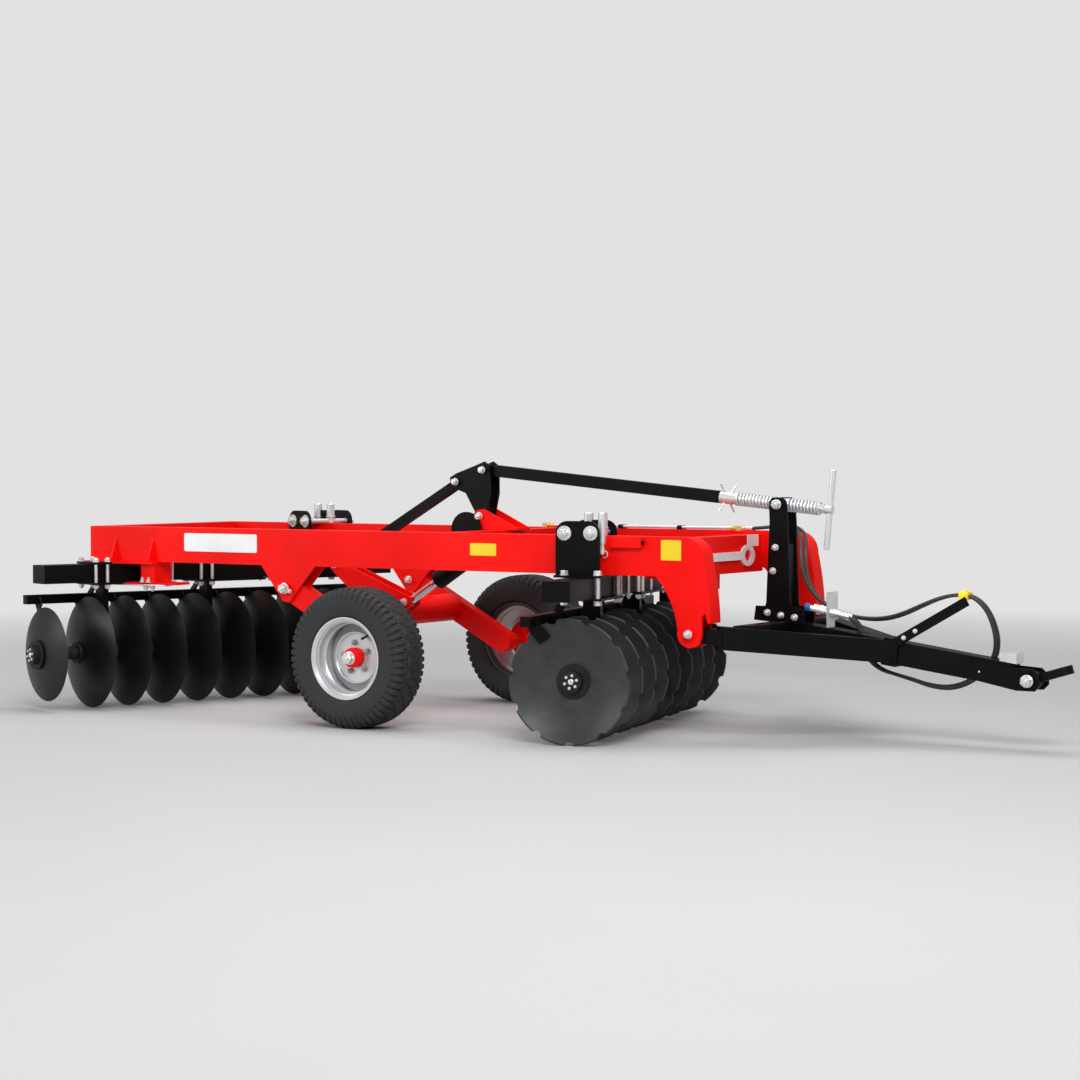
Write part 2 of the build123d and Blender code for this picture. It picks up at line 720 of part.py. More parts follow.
half_tyre = tyre_width / 2
half_rim = rim_width / 2
rim_radius = rim_dia / 2
flange_radius = rim_flange_dia / 2
tread_radius = tyre_dia / 2
half_tyre_profile = [
    (rim_radius, half_rim - 15), (flange_radius + 1, half_rim - 9), (flange_radius + 3, half_rim + 2),
    (flange_radius + 50, half_tyre), (tread_radius - 55, half_tyre - 2),
    (tread_radius - 14, half_tyre - 22), (tread_radius, half_tyre - 50)]
tyre_profile = half_tyre_profile + [(r, -out) for r, out in reversed(half_tyre_profile)]
disc_out = half_rim - wheel_disc_inset
rim_sheet = 7.0
rim_inner = rim_radius - rim_sheet
disc_bore = hub_dia / 2 - 20
rim_profile = [
    (disc_bore, disc_out - rim_sheet), (130, disc_out - rim_sheet), (rim_inner - 12, disc_out - 40),
    (rim_inner - 12, disc_out - 60), (rim_inner, disc_out - 68), (rim_inner, 10 - half_rim),
    (flange_radius - 7, -half_rim), (flange_radius, -half_rim), (flange_radius, 6 - half_rim),
    (rim_radius, 14 - half_rim), (rim_radius, half_rim - 14), (flange_radius, half_rim - 6),
    (flange_radius, half_rim), (flange_radius - 7, half_rim), (rim_inner, half_rim - 10),
    (rim_inner, disc_out - 58), (rim_inner - 5, disc_out - 52), (rim_inner - 5, disc_out - 36),
    (133, disc_out), (disc_bore, disc_out)]
hub_profile = [
    (spindle_dia / 2 + pin_gap, disc_out - 66), (hub_dia / 2, disc_out - 66), (hub_dia / 2, disc_out - 26),
    (104, disc_out - 20), (104, disc_out - rim_sheet), (hub_dia / 2 - 21, disc_out - rim_sheet),
    (hub_dia / 2 - 21, disc_out + 62), (0, disc_out + 62), (0, disc_out + 56),
    (spindle_dia / 2 + pin_gap, disc_out + 56)]
for name, side in sides:
    save(turned(tyre_profile, side), f"tyre_{name}")
    save(turned(rim_profile, side), f"rim_{name}")
    save(turned(hub_profile, side), f"hub_{name}")

# The lift cylinder: barrel on the frame's pin, rod in the barrel, its eye at the lever.
stroke_run = Vector(rod_pin[0] - barrel_pin[0], 0, rod_pin[1] - barrel_pin[1])
stroke_dir = stroke_run.normalized()
barrel_length = 400.0


def on_cylinder(distance):
    """A point on the cylinder's axis, measured from the barrel's pin."""
    return (barrel_pin[0] + stroke_dir.X * distance, 0, barrel_pin[1] + stroke_dir.Z * distance)


with BuildPart() as cylinder_barrel:
    round_bar(on_cylinder(44), on_cylinder(barrel_length), barrel_dia / 2)
    cross_pin(barrel_pin, 0, eye_width, 48)
    cross_pin(barrel_pin, 0, eye_width + 2, pivot_pin + pin_gap, mode=Mode.SUBTRACT)
    round_bar(on_cylinder(80), on_cylinder(barrel_length + 1), rod_dia / 2 + pin_gap, mode=Mode.SUBTRACT)
save(cylinder_barrel, "cylinder_barrel")

rod_eye = 26.0
with BuildPart() as cylinder_rod:
    round_bar(on_cylinder(190), on_cylinder(stroke_run.length - 20), rod_dia / 2)
    cross_pin(rod_pin, 0, eye_width, rod_eye)
save(cylinder_rod, "cylinder_rod")


# ---------------------------------------------------------------- levelling linkage
crank_outline = [
    at(crank_pin, 34, -14), at(crank_pin, 36, 20), at(crank_pin, 58, 120), at(crank_top, 44, -24),
    at(crank_top, 40, 22), at(crank_top, 8, 44), at(crank_top, -34, 28), at(crank_rear, 0, 44),
    at(crank_rear, -40, 22), at(crank_rear, -34, -28), at(crank_rear, 60, -60), at(crank_pin, -36, 20),
    at(crank_pin, -32, -18), at(crank_pin, 0, -34)]
with BuildPart() as bell_crank:
    for edge in (-1, 1):
        side_plate(crank_outline, edge * (crank_inside + crank_plate / 2), crank_plate)
    for pin in (crank_top, crank_rear):
        cross_pin(pin, 0, 2 * crank_outside + 20, link_pin)
    cross_pin(crank_pin, 0, 2 * crank_outside + 40, link_pin + pin_gap, mode=Mode.SUBTRACT)
save(bell_crank, "bell_crank")

with BuildPart() as push_link:
    straight_bar((crank_rear[0], 0, crank_rear[1]), (lever_pin[0], 0, lever_pin[1]), 40, 50)
    cross_pin(crank_rear, 0, eye_width, 34)
    cross_pin(lever_pin, 0, eye_width, 34)
    cross_pin(crank_rear, 0, eye_width + 2, link_pin + pin_gap, mode=Mode.SUBTRACT)
save(push_link, "push_link")

top_run = Vector(trunnion[0] - crank_top[0], 0, trunnion[1] - crank_top[1])
top_dir = top_run.normalized()


def on_top_link(distance, rise=0.0):
    """A point along the top link from the crank's pin, and square above it."""
    return (crank_top[0] + top_dir.X * distance - top_dir.Z * rise, 0,
            crank_top[1] + top_dir.Z * distance + top_dir.X * rise)


tube_end = 1400.0
spring_radius = 31.0
trunnion_radius = 30.0
with BuildPart() as top_link:
    straight_bar(on_top_link(30), on_top_link(tube_end), 50, top_tube)
    cross_pin(crank_top, 0, eye_width, 34)
    cross_pin(crank_top, 0, eye_width + 2, link_pin + pin_gap, mode=Mode.SUBTRACT)
save(top_link, "top_link")

screw_end = top_run.length + 262
with BuildPart() as levelling_screw:
    round_bar(on_top_link(tube_end), on_top_link(screw_end), screw_radius)
    for start, end in ((tube_end + 20, top_run.length - trunnion_radius),
                       (top_run.length + trunnion_radius, screw_end - 50)):
        round_bar(on_top_link(start), on_top_link(end), spring_radius)
    cross_pin((trunnion[0], trunnion[1]), 0, 64, trunnion_radius)
    round_bar(on_top_link(screw_end, -handle_length / 2), on_top_link(screw_end, handle_length / 2), 13)
save(levelling_screw, "levelling_screw")


# ---------------------------------------------------------------- drawbar
pole_drop = tan(radians(pole_slope))


def pole_at(x):
    """Height of the pole's centreline at a station."""
    return pole_start[1] - (x - pole_start[0]) * pole_drop


leg_start_x = axle_x + 1950.0
leg_end_x = axle_x + 2600.0
leg_start_z = hinge_pin[1] - 15.0
eye_radius = 44.0


def drawbar_leg(side):
    """One leg of the drawbar's A, with its hinge eye."""
    with BuildPart() as leg:
        straight_bar((leg_start_x, side * rail_y, leg_start_z),
                     (leg_end_x, side * 30, pole_at(leg_end_x)), leg_width, leg_height)
        side_plate([at(hinge_pin, 0, -38), (leg_start_x + 40, leg_start_z - 40),
                    (leg_start_x + 40, leg_start_z + 34), at(hinge_pin, 0, 38)],
                   side * rail_y, ear_gap - 2 * side_gap)
        cross_pin(hinge_pin, side * rail_y, ear_gap - 2 * side_gap, eye_radius)
        cross_pin(hinge_pin, side * rail_y, ear_gap, pivot_pin + pin_gap, mode=Mode.SUBTRACT)
        block((pole_start[0], leg_end_x + 200), (-pole_width / 2, pole_width / 2), (200, 800),
              mode=Mode.SUBTRACT)
        block((pole_start[0], leg_end_x + 200),
              sorted((side * -200, side * pole_width / 2)), (200, 800), mode=Mode.SUBTRACT)
    return leg


for name, side in sides:
    save(drawbar_leg(side), f"drawbar_leg_{name}")

pole_end_x = hitch_pin[0] - 91.0
with BuildPart() as pole:
    straight_bar((pole_start[0] - 20, 0, pole_at(pole_start[0] - 20)),
                 (pole_end_x, 0, pole_at(pole_end_x)), pole_width, pole_height)
    block((pole_start[0] - 60, pole_start[0]), (-pole_width, pole_width), (300, 800),
          mode=Mode.SUBTRACT)
save(pole, "pole")

# Cross tube between the legs, under the mast.
cross_x = pole_start[0] - 50.0
leg_slant = (rail_y - 30) / (leg_end_x - leg_start_x)
leg_half = leg_width / 2 * sqrt(1 + leg_slant ** 2)


def leg_inner_y(x):
    """Inner face of a leg at a station."""
    return rail_y - (x - leg_start_x) * leg_slant - leg_half


mast_base = pole_start[1] + pole_height / 2 / cos(radians(pole_slope))
with BuildPart() as drawbar_cross_tube:
    with BuildSketch(Plane.XY.offset(pole_start[1] - pole_height / 2)):
        with BuildLine():
            rear, front = cross_x - 50, cross_x + 50
            Polyline((rear, -leg_inner_y(rear)), (front, -leg_inner_y(front)),
                     (front, leg_inner_y(front)), (rear, leg_inner_y(rear)), close=True)
        make_face()
    extrude(amount=mast_base - pole_start[1] + pole_height / 2)
save(drawbar_cross_tube, "drawbar_cross_tube")

# The mast holds the levelling screw's trunnion in a fork.
mast_inside = 40.0
mast_outline = [
    (trunnion[0] - 91, mast_base), (trunnion[0] + 98, mast_base), (trunnion[0] + 70, mast_base + 90),
    at(trunnion, 55, -86), at(trunnion, 47, 14), at(trunnion, 25, 34), at(trunnion, -25, 34),
    at(trunnion, -47, 14), at(trunnion, -43, -86), (trunnion[0] - 60, mast_base + 90)]
with BuildPart() as mast:
    for edge in (-1, 1):
        y = edge * (mast_inside + plate / 2)
        side_plate(mast_outline, y, plate)
        cross_pin(trunnion, edge * (mast_inside + plate + 4), 8, link_pin + 8)
    block((trunnion[0] - 29, trunnion[0] + 51), (-mast_inside, mast_inside),
          (mast_base, mast_base + 380))
save(mast, "mast")

# Hitch: cheeks on the pole's end and a tongue that tilts on their pin.
cheek_inside = pole_width / 2
tongue_width = 2 * cheek_inside - 2 * side_gap
cheek_rear = hitch_pin[0] - 326.0
cheek_outline = [
    (cheek_rear, pole_at(cheek_rear) - 50), (cheek_rear + 10, pole_at(cheek_rear + 10) + 40),
    at(hitch_pin, -100, 62), at(hitch_pin, 20, 54), at(hitch_pin, 52, 26), at(hitch_pin, 56, -22),
    at(hitch_pin, 30, -48), at(hitch_pin, -60, -48)]
with BuildPart() as hitch_cheeks:
    for edge in (-1, 1):
        side_plate(cheek_outline, edge * (cheek_inside + plate / 2), plate)
    cross_pin(hitch_pin, 0, 2 * (cheek_inside + plate) + 36, pivot_pin)
save(hitch_cheeks, "hitch_cheeks")

tongue_thick = 40.0
tongue_tip = (hitch_pin[0] + 150, hitch_pin[1] + 47)
with BuildPart() as hitch_tongue:
    cross_pin(hitch_pin, 0, tongue_width, 42)
    straight_bar((hitch_pin[0], 0, hitch_pin[1]), (tongue_tip[0], 0, tongue_tip[1]),
                 tongue_width, tongue_thick)
    tongue_plane = Plane(origin=(tongue_tip[0], 0, tongue_tip[1]), x_dir=(150, 0, 47), z_dir=(-47, 0, 150))
    with BuildSketch(tongue_plane):
        Circle(tongue_width / 2)
    extrude(amount=tongue_thick / 2, both=True)
    cross_pin(hitch_pin, 0, tongue_width + 2, pivot_pin + pin_gap, mode=Mode.SUBTRACT)
    with BuildSketch(tongue_plane):
        Circle(tongue_hole)
    extrude(amount=tongue_thick, both=True, mode=Mode.SUBTRACT)
save(hitch_tongue, "hitch_tongue")

# ---------------------------------------------------------------- drawbar fittings
collar_rear, collar_front = axle_x + 2575.0, axle_x + 2650.0
collar_plate = 10.0


def pole_shell(start, end, thickness):
    """A sleeve round the pole between two stations."""
    straight_bar((start, 0, pole_at(start)), (end, 0, pole_at(end)),
                 pole_width + 2 * thickness, pole_height + 2 * thickness)
    straight_bar((start - 40, 0, pole_at(start - 40)), (end + 40, 0, pole_at(end + 40)),
                 pole_width, pole_height, mode=Mode.SUBTRACT)


with BuildPart() as pole_collar:
    pole_shell(collar_rear, collar_front, collar_plate)
    for side in (-1, 1):
        straight_bar((leg_start_x, side * rail_y, leg_start_z), (leg_end_x, side * 30, pole_at(leg_end_x)),
                     leg_width, leg_height, mode=Mode.SUBTRACT)
save(pole_collar, "pole_collar")

# Zinc block on the cheeks' top with the bush of the pin above the tongue.
stop_pin = (hitch_pin[0] - 107.0, pole_at(hitch_pin[0] - 107.0) + pole_height / 2 + 22)
with BuildPart() as hitch_block:
    block((stop_pin[0] - 42, stop_pin[0] + 42), (-cheek_inside + 4, cheek_inside - 4),
          (stop_pin[1] - 40, stop_pin[1] + 23))
    straight_bar((stop_pin[0] - 150, 0, pole_at(stop_pin[0] - 150)),
                 (pole_end_x + 40, 0, pole_at(pole_end_x + 40)), pole_width, pole_height,
                 mode=Mode.SUBTRACT)
save(hitch_block, "hitch_block")

# Pocket on the right rail for the spanner's handle, and the ring spanner on the front beam.
pocket = (axle_x + 1399.0, axle_x + 1572.0)
with BuildPart() as tool_pocket:
    block(pocket, (-rail_outside - 26, -rail_outside), (rail_top - 54, rail_top - 6))
save(tool_pocket, "tool_pocket")

spanner_thick = 12.0
spanner_level = rail_top - 121.0
spanner_end, spanner_ring = -152.0, 345.0
with BuildPart() as ring_spanner:
    block((front_beam_face, front_beam_face + spanner_thick), (spanner_end, spanner_ring - 40),
          (spanner_level - 20, spanner_level + 22))
    with BuildSketch(Plane.YZ.offset(front_beam_face)):
        with Locations((spanner_ring, spanner_level)):
            Ellipse(72, 54)
            Ellipse(38, 30, mode=Mode.SUBTRACT)
    extrude(amount=spanner_thick)
save(ring_spanner, "ring_spanner")

# ---------------------------------------------------------------- hydraulics
hose_dia = 18.0
hose_gap = 26.0          # between the two hoses' centrelines
pipe_radius = 8.0
pipe_y = (rail_y - 28.0, rail_y - 28.0 + hose_gap)
pipe_level = rail_top + 12.0
pipe_rear, pipe_front = axle_x + 306.0, axle_x + 1470.0
fitting_front = axle_x + 1500.0

with BuildPart() as hydraulic_pipes:
    for y in pipe_y:
        round_bar((pipe_rear, y, pipe_level), (pipe_front, y, pipe_level), pipe_radius)
save(hydraulic_pipes, "hydraulic_pipes")

with BuildPart() as pipe_fittings:
    for start, end in ((pipe_rear - 30, pipe_rear), (pipe_front, fitting_front)):
        block((start, end), (pipe_y[0] - 14, pipe_y[1] + 14), (rail_top, pipe_level + 11))
save(pipe_fittings, "pipe_fittings")

# A flat bar beside the pole carries the hoses in a clip at its top.
post_foot = (axle_x + 2646.0, 491.0)
post_head = (axle_x + 3010.0, 701.0)
bar_thick = 8.0
hose_post_y = -pole_width / 2 - collar_plate - bar_thick / 2
with BuildPart() as hose_post:
    straight_bar((post_foot[0], hose_post_y, post_foot[1]), (post_head[0], hose_post_y, post_head[1]),
                 bar_thick, 46)
save(hose_post, "hose_post")

clip_middle = (axle_x + 2983.0, 727.0)
clip_y = (-34.0, -34.0 + hose_gap)
with BuildPart() as hose_clip:
    block((clip_middle[0] - 18, clip_middle[0] + 22), (hose_post_y - bar_thick / 2, clip_y[1] + 14),
          (clip_middle[1] - 20, clip_middle[1] - hose_dia / 2 - 4.5))
    straight_bar((post_foot[0], hose_post_y, post_foot[1]),
                 (post_head[0] + 60, hose_post_y, post_head[1] + 60 * 237 / 410), bar_thick, 46,
                 mode=Mode.SUBTRACT)
save(hose_clip, "hose_clip")

# Each hose leaves the rail's front fitting, hangs past the mast to the clip, loops down beside
# the pole and comes back under it, up between the pole and the left leg to its coupling.
# Stations from the axle, y, height; the second hose's points are offset by its own table.
hose_route = (
    # station, y, height, second hose's offset along each
    (1500, 540, 1007, 0, 26, 0), (1580, 540, 1007, 2, 26, 0), (1680, 536, 1018, 8, 25, 2),
    (1780, 502, 1024, 16, 22, 2), (1868, 434, 1008, 20, 18, 0), (1935, 346, 980, 21, 17, -2),
    (1986, 252, 946, 20, 18, -4), (2026, 166, 892, 16, 22, -6), (2064, 108, 806, 8, 25, -6),
    (2120, 92, 712, 2, 26, -7), (2206, 98, 641, 0, 26, -6), (2311, 106, 602, 0, 26, -6),
    (2421, 104, 589, 0, 26, -6), (2531, 80, 597, 0, 26, -6), (2638, 44, 626, 0, 26, -5),
    (2742, 8, 668, 0, 26, -3), (2846, -18, 708, 0, 26, 0), (2942, -33, 729, 0, 26, 0),
    (3026, -32, 722, 0, 26, 0), (3082, -14, 668, 0, 26, 2), (3108, 12, 590, 4, 26, 2),
    (3112, 46, 508, 6, 26, 0), (3088, 78, 430, 4, 26, -4), (3030, 88, 364, 0, 26, -8),
    (2952, 88, 306, 0, 26, -10), (2860, 84, 277, 0, 26, -12), (2762, 80, 283, 0, 26, -12),
    (2668, 77, 308, 0, 26, -8), (2580, 74, 328, 0, 26, -6), (2504, 70, 346, 0, 26, -2),
    (2446, 68, 388, 0, 26, 0), (2420, 68, 448, 0, 26, 0), (2406, 66, 510, 0, 26, 0),
    (2388, 56, 564, 2, 29, -3), (2350, 36, 600, 3, 33, -2), (2296, 20, 612, 0, 36, 0))


def hose_points(share):
    """A hose's route; share is 0 for the first hose and 1 for the second."""
    return [(axle_x + x + share * dx, y + share * dy, z + share * dz)
            for x, y, z, dx, dy, dz in hose_route]


def hose(points, name):
    """A tube of straight runs and tangent arcs through the route."""
    places = [Vector(*point) for point in points]
    runs = [b - a for a, b in zip(places, places[1:])]
    radii = []
    for before, after in zip(runs, runs[1:]):
        turn = radians(before.get_angle(after))
        radii.append(0.45 * min(before.length, after.length) / tan(turn / 2))
    with BuildPart() as tube:
        with BuildLine() as path:
            FilletPolyline(*points, radius=radii)
        with BuildSketch(Plane(origin=places[0], z_dir=runs[0])) as section:
            Circle(hose_dia / 2)
        sweep(section.sketch, path=path.wires()[0])
    length = path.wires()[0].length
    print(name, "length", round(length), "least radius", round(min(radii)),
          "runs", round(min(r.length for r in runs)), round(max(r.length for r in runs)),
          "volume ratio", round(tube.part.volume / (3.14159265 * hose_dia ** 2 / 4 * length), 4))
    print("  radii", [round(r) for r in radii])
    return tube


routes = [hose_points(share) for share in (0, 1)]
for number, route in enumerate(routes, 1):
    save(hose(route, f"hose_{number}"), f"hose_{number}")

# The couplings of the parked hoses lie in a holder on the pole.
coupling_length = 135.0
coupling_radius = 15.0
holder_x = axle_x + 2266.0
holder_plate = 8.0


def coupling(route, past, radius, mode=Mode.ADD):
    """A coupling in line with the end of a hose."""
    end = Vector(*route[-1])
    run = (end - Vector(*route[-2])).normalized()
    round_bar(tuple(end), tuple(end + run * past), radius, mode=mode)


with BuildPart() as hose_couplings:
    for route in routes:
        coupling(route, coupling_length, coupling_radius)
save(hose_couplings, "hose_couplings")

with BuildPart() as coupling_holder:
    block((holder_x - holder_plate / 2, holder_x + holder_plate / 2), (-28, 84),
          (pole_at(holder_x) + 30, routes[0][-1][2] + 108))
    straight_bar((holder_x - 100, 0, pole_at(holder_x - 100)), (holder_x + 100, 0, pole_at(holder_x + 100)),
                 pole_width, pole_height, mode=Mode.SUBTRACT)
    block((holder_x - 20, holder_x + 20), (pole_width / 2, pole_width), (400, routes[0][-1][2] - 30),
          mode=Mode.SUBTRACT)
    for route in routes:
        coupling(route, coupling_length, coupling_radius + 0.3, mode=Mode.SUBTRACT)
save(coupling_holder, "coupling_holder")
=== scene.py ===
"""Looks of the trailed disc harrow: camera, studio, free hoses, materials, and the small detail
that its solids leave out. Metres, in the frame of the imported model: +X to the hitch, +Y to the
machine's left, +Z up, the ground at Z = 0."""
import json
from math import pi, radians, tau

import bpy
import numpy as np
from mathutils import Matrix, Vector


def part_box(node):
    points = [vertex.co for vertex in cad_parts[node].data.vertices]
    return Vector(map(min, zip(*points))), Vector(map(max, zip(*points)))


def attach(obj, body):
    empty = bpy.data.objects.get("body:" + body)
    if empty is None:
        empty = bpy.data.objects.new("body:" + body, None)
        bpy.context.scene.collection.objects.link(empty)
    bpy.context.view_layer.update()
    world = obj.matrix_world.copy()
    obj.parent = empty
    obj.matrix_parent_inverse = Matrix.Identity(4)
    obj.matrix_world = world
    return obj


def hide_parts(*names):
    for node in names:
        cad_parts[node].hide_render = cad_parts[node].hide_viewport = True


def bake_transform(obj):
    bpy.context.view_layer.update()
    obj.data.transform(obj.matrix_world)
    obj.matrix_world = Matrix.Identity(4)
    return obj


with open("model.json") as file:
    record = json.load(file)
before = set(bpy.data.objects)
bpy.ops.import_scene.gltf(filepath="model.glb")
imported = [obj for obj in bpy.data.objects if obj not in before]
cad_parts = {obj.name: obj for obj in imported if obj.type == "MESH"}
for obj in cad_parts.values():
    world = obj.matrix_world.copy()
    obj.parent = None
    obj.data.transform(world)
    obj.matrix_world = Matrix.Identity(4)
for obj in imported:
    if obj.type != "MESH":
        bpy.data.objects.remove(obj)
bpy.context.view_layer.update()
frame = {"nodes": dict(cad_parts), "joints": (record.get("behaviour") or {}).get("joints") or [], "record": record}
nodes = frame["nodes"]
joints = {joint["name"]: joint for joint in frame["joints"]}
axle_x, right_wheel_y, axle_height = joints["wheel_right_spin"]["pos_m"]


# ------------------------ camera and studio
camera_place = (7.085, -11.319, 1.386)
camera_below_level = 2.15  # degrees that the camera looks down
camera_heading = 32.25  # degrees from the machine's left towards its rear
focal_length, sensor_width = 85.4, 36.0  # millimetres
lens_shift = 0.0108  # share of the frame
backdrop = 0.76  # brightness of the background and the floor far off
sky_strength = 0.40
floor_half = 90.0
fade_from, fade_to = 3.6, 10.5  # distances over which the floor turns into the background
# Name, place, target, size and power in watts of each lamp.
lamps = (("key", (5.5, -7.5, 6.5), (0, 0, 0.5), (4, 3), 760),
         ("fill", (-7.0, -6.5, 3.5), (-0.5, 0, 0.5), (4, 4), 260),
         ("top", (0, 0.5, 7.5), (0, 0, 0), (8, 5), 430))


def added(name, data):
    """A new object in the scene for a mesh, curve, light or camera."""
    made = bpy.data.objects.new(name, data)
    bpy.context.scene.collection.objects.link(made)
    return made


def place_camera():
    """A long lens from the machine's right front quarter, a little above the rails."""
    data = bpy.data.cameras.new("camera")
    camera = added("camera", data)
    camera.location = camera_place
    camera.rotation_euler = (radians(90 - camera_below_level), 0, radians(camera_heading))
    data.lens = focal_length
    data.sensor_width = sensor_width
    data.shift_y = lens_shift
    data.clip_end = 100
    bpy.context.scene.camera = camera


def area_light(name, location, target, size, power):
    """A soft rectangular light aimed at a point."""
    data = bpy.data.lights.new(name, "AREA")
    data.shape = "RECTANGLE"
    data.size, data.size_y = size
    data.energy = power
    light = added(name, data)
    light.location = location
    aim = Vector(target) - Vector(location)
    light.rotation_euler = aim.to_track_quat("-Z", "Y").to_euler()


def studio():
    """Pale floor that fades into a pale background, an even sky and three soft lights."""
    world = bpy.data.worlds.new("studio")
    bpy.context.scene.world = world
    world.use_nodes = True
    tree = world.node_tree
    sky = tree.nodes["Background"]
    sky.inputs["Color"].default_value = (0.95, 0.97, 1.0, 1)
    sky.inputs["Strength"].default_value = sky_strength
    behind = tree.nodes.new("ShaderNodeBackground")
    behind.inputs["Color"].default_value = (backdrop, backdrop, backdrop, 1)
    seen = tree.nodes.new("ShaderNodeLightPath")
    mixed = tree.nodes.new("ShaderNodeMixShader")
    tree.links.new(seen.outputs["Is Camera Ray"], mixed.inputs[0])
    tree.links.new(sky.outputs[0], mixed.inputs[1])
    tree.links.new(behind.outputs[0], mixed.inputs[2])
    tree.links.new(mixed.outputs[0], tree.nodes["World Output"].inputs["Surface"])
    bpy.context.scene.view_settings.view_transform = "Standard"
    for lamp in lamps:
        area_light(*lamp)
    mesh = bpy.data.meshes.new("floor")
    corners = [(x * floor_half, y * floor_half, 0) for x, y in ((-1, -1), (1, -1), (1, 1), (-1, 1))]
    mesh.from_pydata(corners, [], [(0, 1, 2, 3)])
    floor = added("floor", mesh)
    mesh.materials.append(floor_material())


# ------------------------ shapes
UP, DOWN = np.array([0.0, 0.0, 1.0]), np.array([0.0, 0.0, -1.0])
LEFT, RIGHT = np.array([0.0, 1.0, 0.0]), np.array([0.0, -1.0, 0.0])
FORWARD = (1, 0, 0)


def spot(station, y, z):
    """A point from its station ahead of the wheel axle, its y and its height."""
    return np.array([axle_x + station, y, z])


def unit(vector):
    """The vector, or each row of vectors, at length 1."""
    vector = np.asarray(vector, float)
    return vector / np.linalg.norm(vector, axis=-1, keepdims=True)


def square_to(direction):
    """Two unit vectors square to a direction and to each other, right-handed with it."""
    axis = unit(direction)
    first = unit(np.cross(UP if abs(axis[2]) < 0.95 else FORWARD, axis))
    return first, np.cross(axis, first), axis


def skin(rows, ends=True):
    """Quads between successive rings of points (ring, point, xyz), with a flat face at each end."""
    count, around = rows.shape[:2]
    index = np.arange(count * around).reshape(count, around)
    low, high = index[:-1], index[1:]
    quads = np.stack([low, np.roll(low, -1, 1), np.roll(high, -1, 1), high], -1).reshape(-1, 4)
    faces = quads.tolist()
    if ends:
        faces += [index[0, ::-1].tolist(), index[-1].tolist()]
    return rows.reshape(-1, 3), faces


def joined(shapes):
    """Several shapes as one."""
    shapes = list(shapes)
    starts = np.cumsum([0] + [len(points) for points, _ in shapes])
    faces = [[corner + start for corner in face]
             for (_, part), start in zip(shapes, starts.tolist()) for face in part]
    return np.concatenate([points for points, _ in shapes]), faces


def circles(profile, place, direction, around, turn=0.0):
    """Circles square to an axis: place + distance * axis + radius * (cos a * first + sin a *
    second), where the profile gives the radius and the distance of each."""
    first, second, axis = square_to(direction)
    angle = turn + np.arange(around) * tau / around
    circle = np.cos(angle)[:, None] * first + np.sin(angle)[:, None] * second
    radius, along = np.array(profile, float).T
    return np.asarray(place) + along[:, None, None] * axis + radius[:, None, None] * circle


def lathe(profile, place, direction, around=24, turn=0.0):
    """A profile turned round an axis, with a flat face at each end."""
    return skin(circles(profile, place, direction, around, turn))


def hoop(profile, place, direction, around=64):
    """A closed profile turned round an axis."""
    return skin(circles(profile + profile[:1], place, direction, around), ends=False)


def rod(start, end, radius, around=16):
    """A round bar: a circle along a line, a little smaller at both ends for the chamfers."""
    start, end = np.asarray(start, float), np.asarray(end, float)
    length = np.linalg.norm(end - start)
    edge = min(0.15 * radius, 0.2 * length)
    profile = [(radius - edge, 0), (radius, edge), (radius, length - edge), (radius - edge, length)]
    return lathe(profile, start, end - start, around)


def nut(place, direction, across, turn=0.0, stud=0.35, washer=True):
    """Washer, chamfered hexagon and the rounded end of its stud, from the face it sits on. Sizes
    are shares of the width across the flats, and the hexagon is a circle of six points."""
    corner = across / 3 ** 0.5
    base = 0.11 * across if washer else 0.0
    top = base + 0.58 * across
    parts = [lathe([(0.9 * corner, base), (corner, base + 0.06 * across), (corner, top - 0.06 * across),
                    (0.88 * corner, top)], place, direction, 6, turn)]
    if washer:
        parts.append(lathe([(0.66 * across, 0), (0.66 * across, base * 0.8), (0.62 * across, base)],
                           place, direction, 20))
    if stud:
        end = top + stud * across
        parts.append(lathe([(0.29 * across, top - 0.01), (0.29 * across, end - 0.05 * across),
                            (0.22 * across, end)], place, direction, 14))
    return joined(parts)


def carried(path, radius, around=12, sideways=(0.6, 0.8, 0.0)):
    """A circle carried along a path, square to it; radius is one number or one for each point."""
    path = np.asarray(path, float)
    tangent = unit(np.gradient(path, axis=0))
    first = unit(np.cross(np.asarray(sideways, float), tangent))
    second = np.cross(tangent, first)
    angle = np.arange(around) * tau / around
    circle = (np.cos(angle)[None, :, None] * first[:, None, :]
              + np.sin(angle)[None, :, None] * second[:, None, :])
    radius = np.broadcast_to(radius, len(path))
    return skin(path[:, None, :] + radius[:, None, None] * circle)


def coil(start, end, radius, wire, turns, steps=20):
    """A wire wound round the line from start to end: the angle grows evenly along it."""
    first, second, axis = square_to(np.asarray(end) - np.asarray(start))
    share = np.linspace(0, 1, int(turns * steps) + 1)
    angle = tau * turns * share
    path = (np.asarray(start) + share[:, None] * (np.asarray(end) - np.asarray(start))
            + radius * (np.cos(angle)[:, None] * first + np.sin(angle)[:, None] * second))
    return carried(path, wire, 8, sideways=axis)


def rounded(width, height, radius, corner=5):
    """Outline of a rectangle with rounded corners: a quarter circle round each corner's centre."""
    angle = np.linspace(0, pi / 2, corner)
    signs = np.array([(1, 1), (-1, 1), (-1, -1), (1, -1)])
    centres = signs * (np.array([width, height]) / 2 - radius)
    turns = angle[None, :] + np.arange(4)[:, None] * pi / 2
    arcs = radius * np.stack([np.cos(turns), np.sin(turns)], -1)
    return (centres[:, None, :] + arcs).reshape(-1, 2)


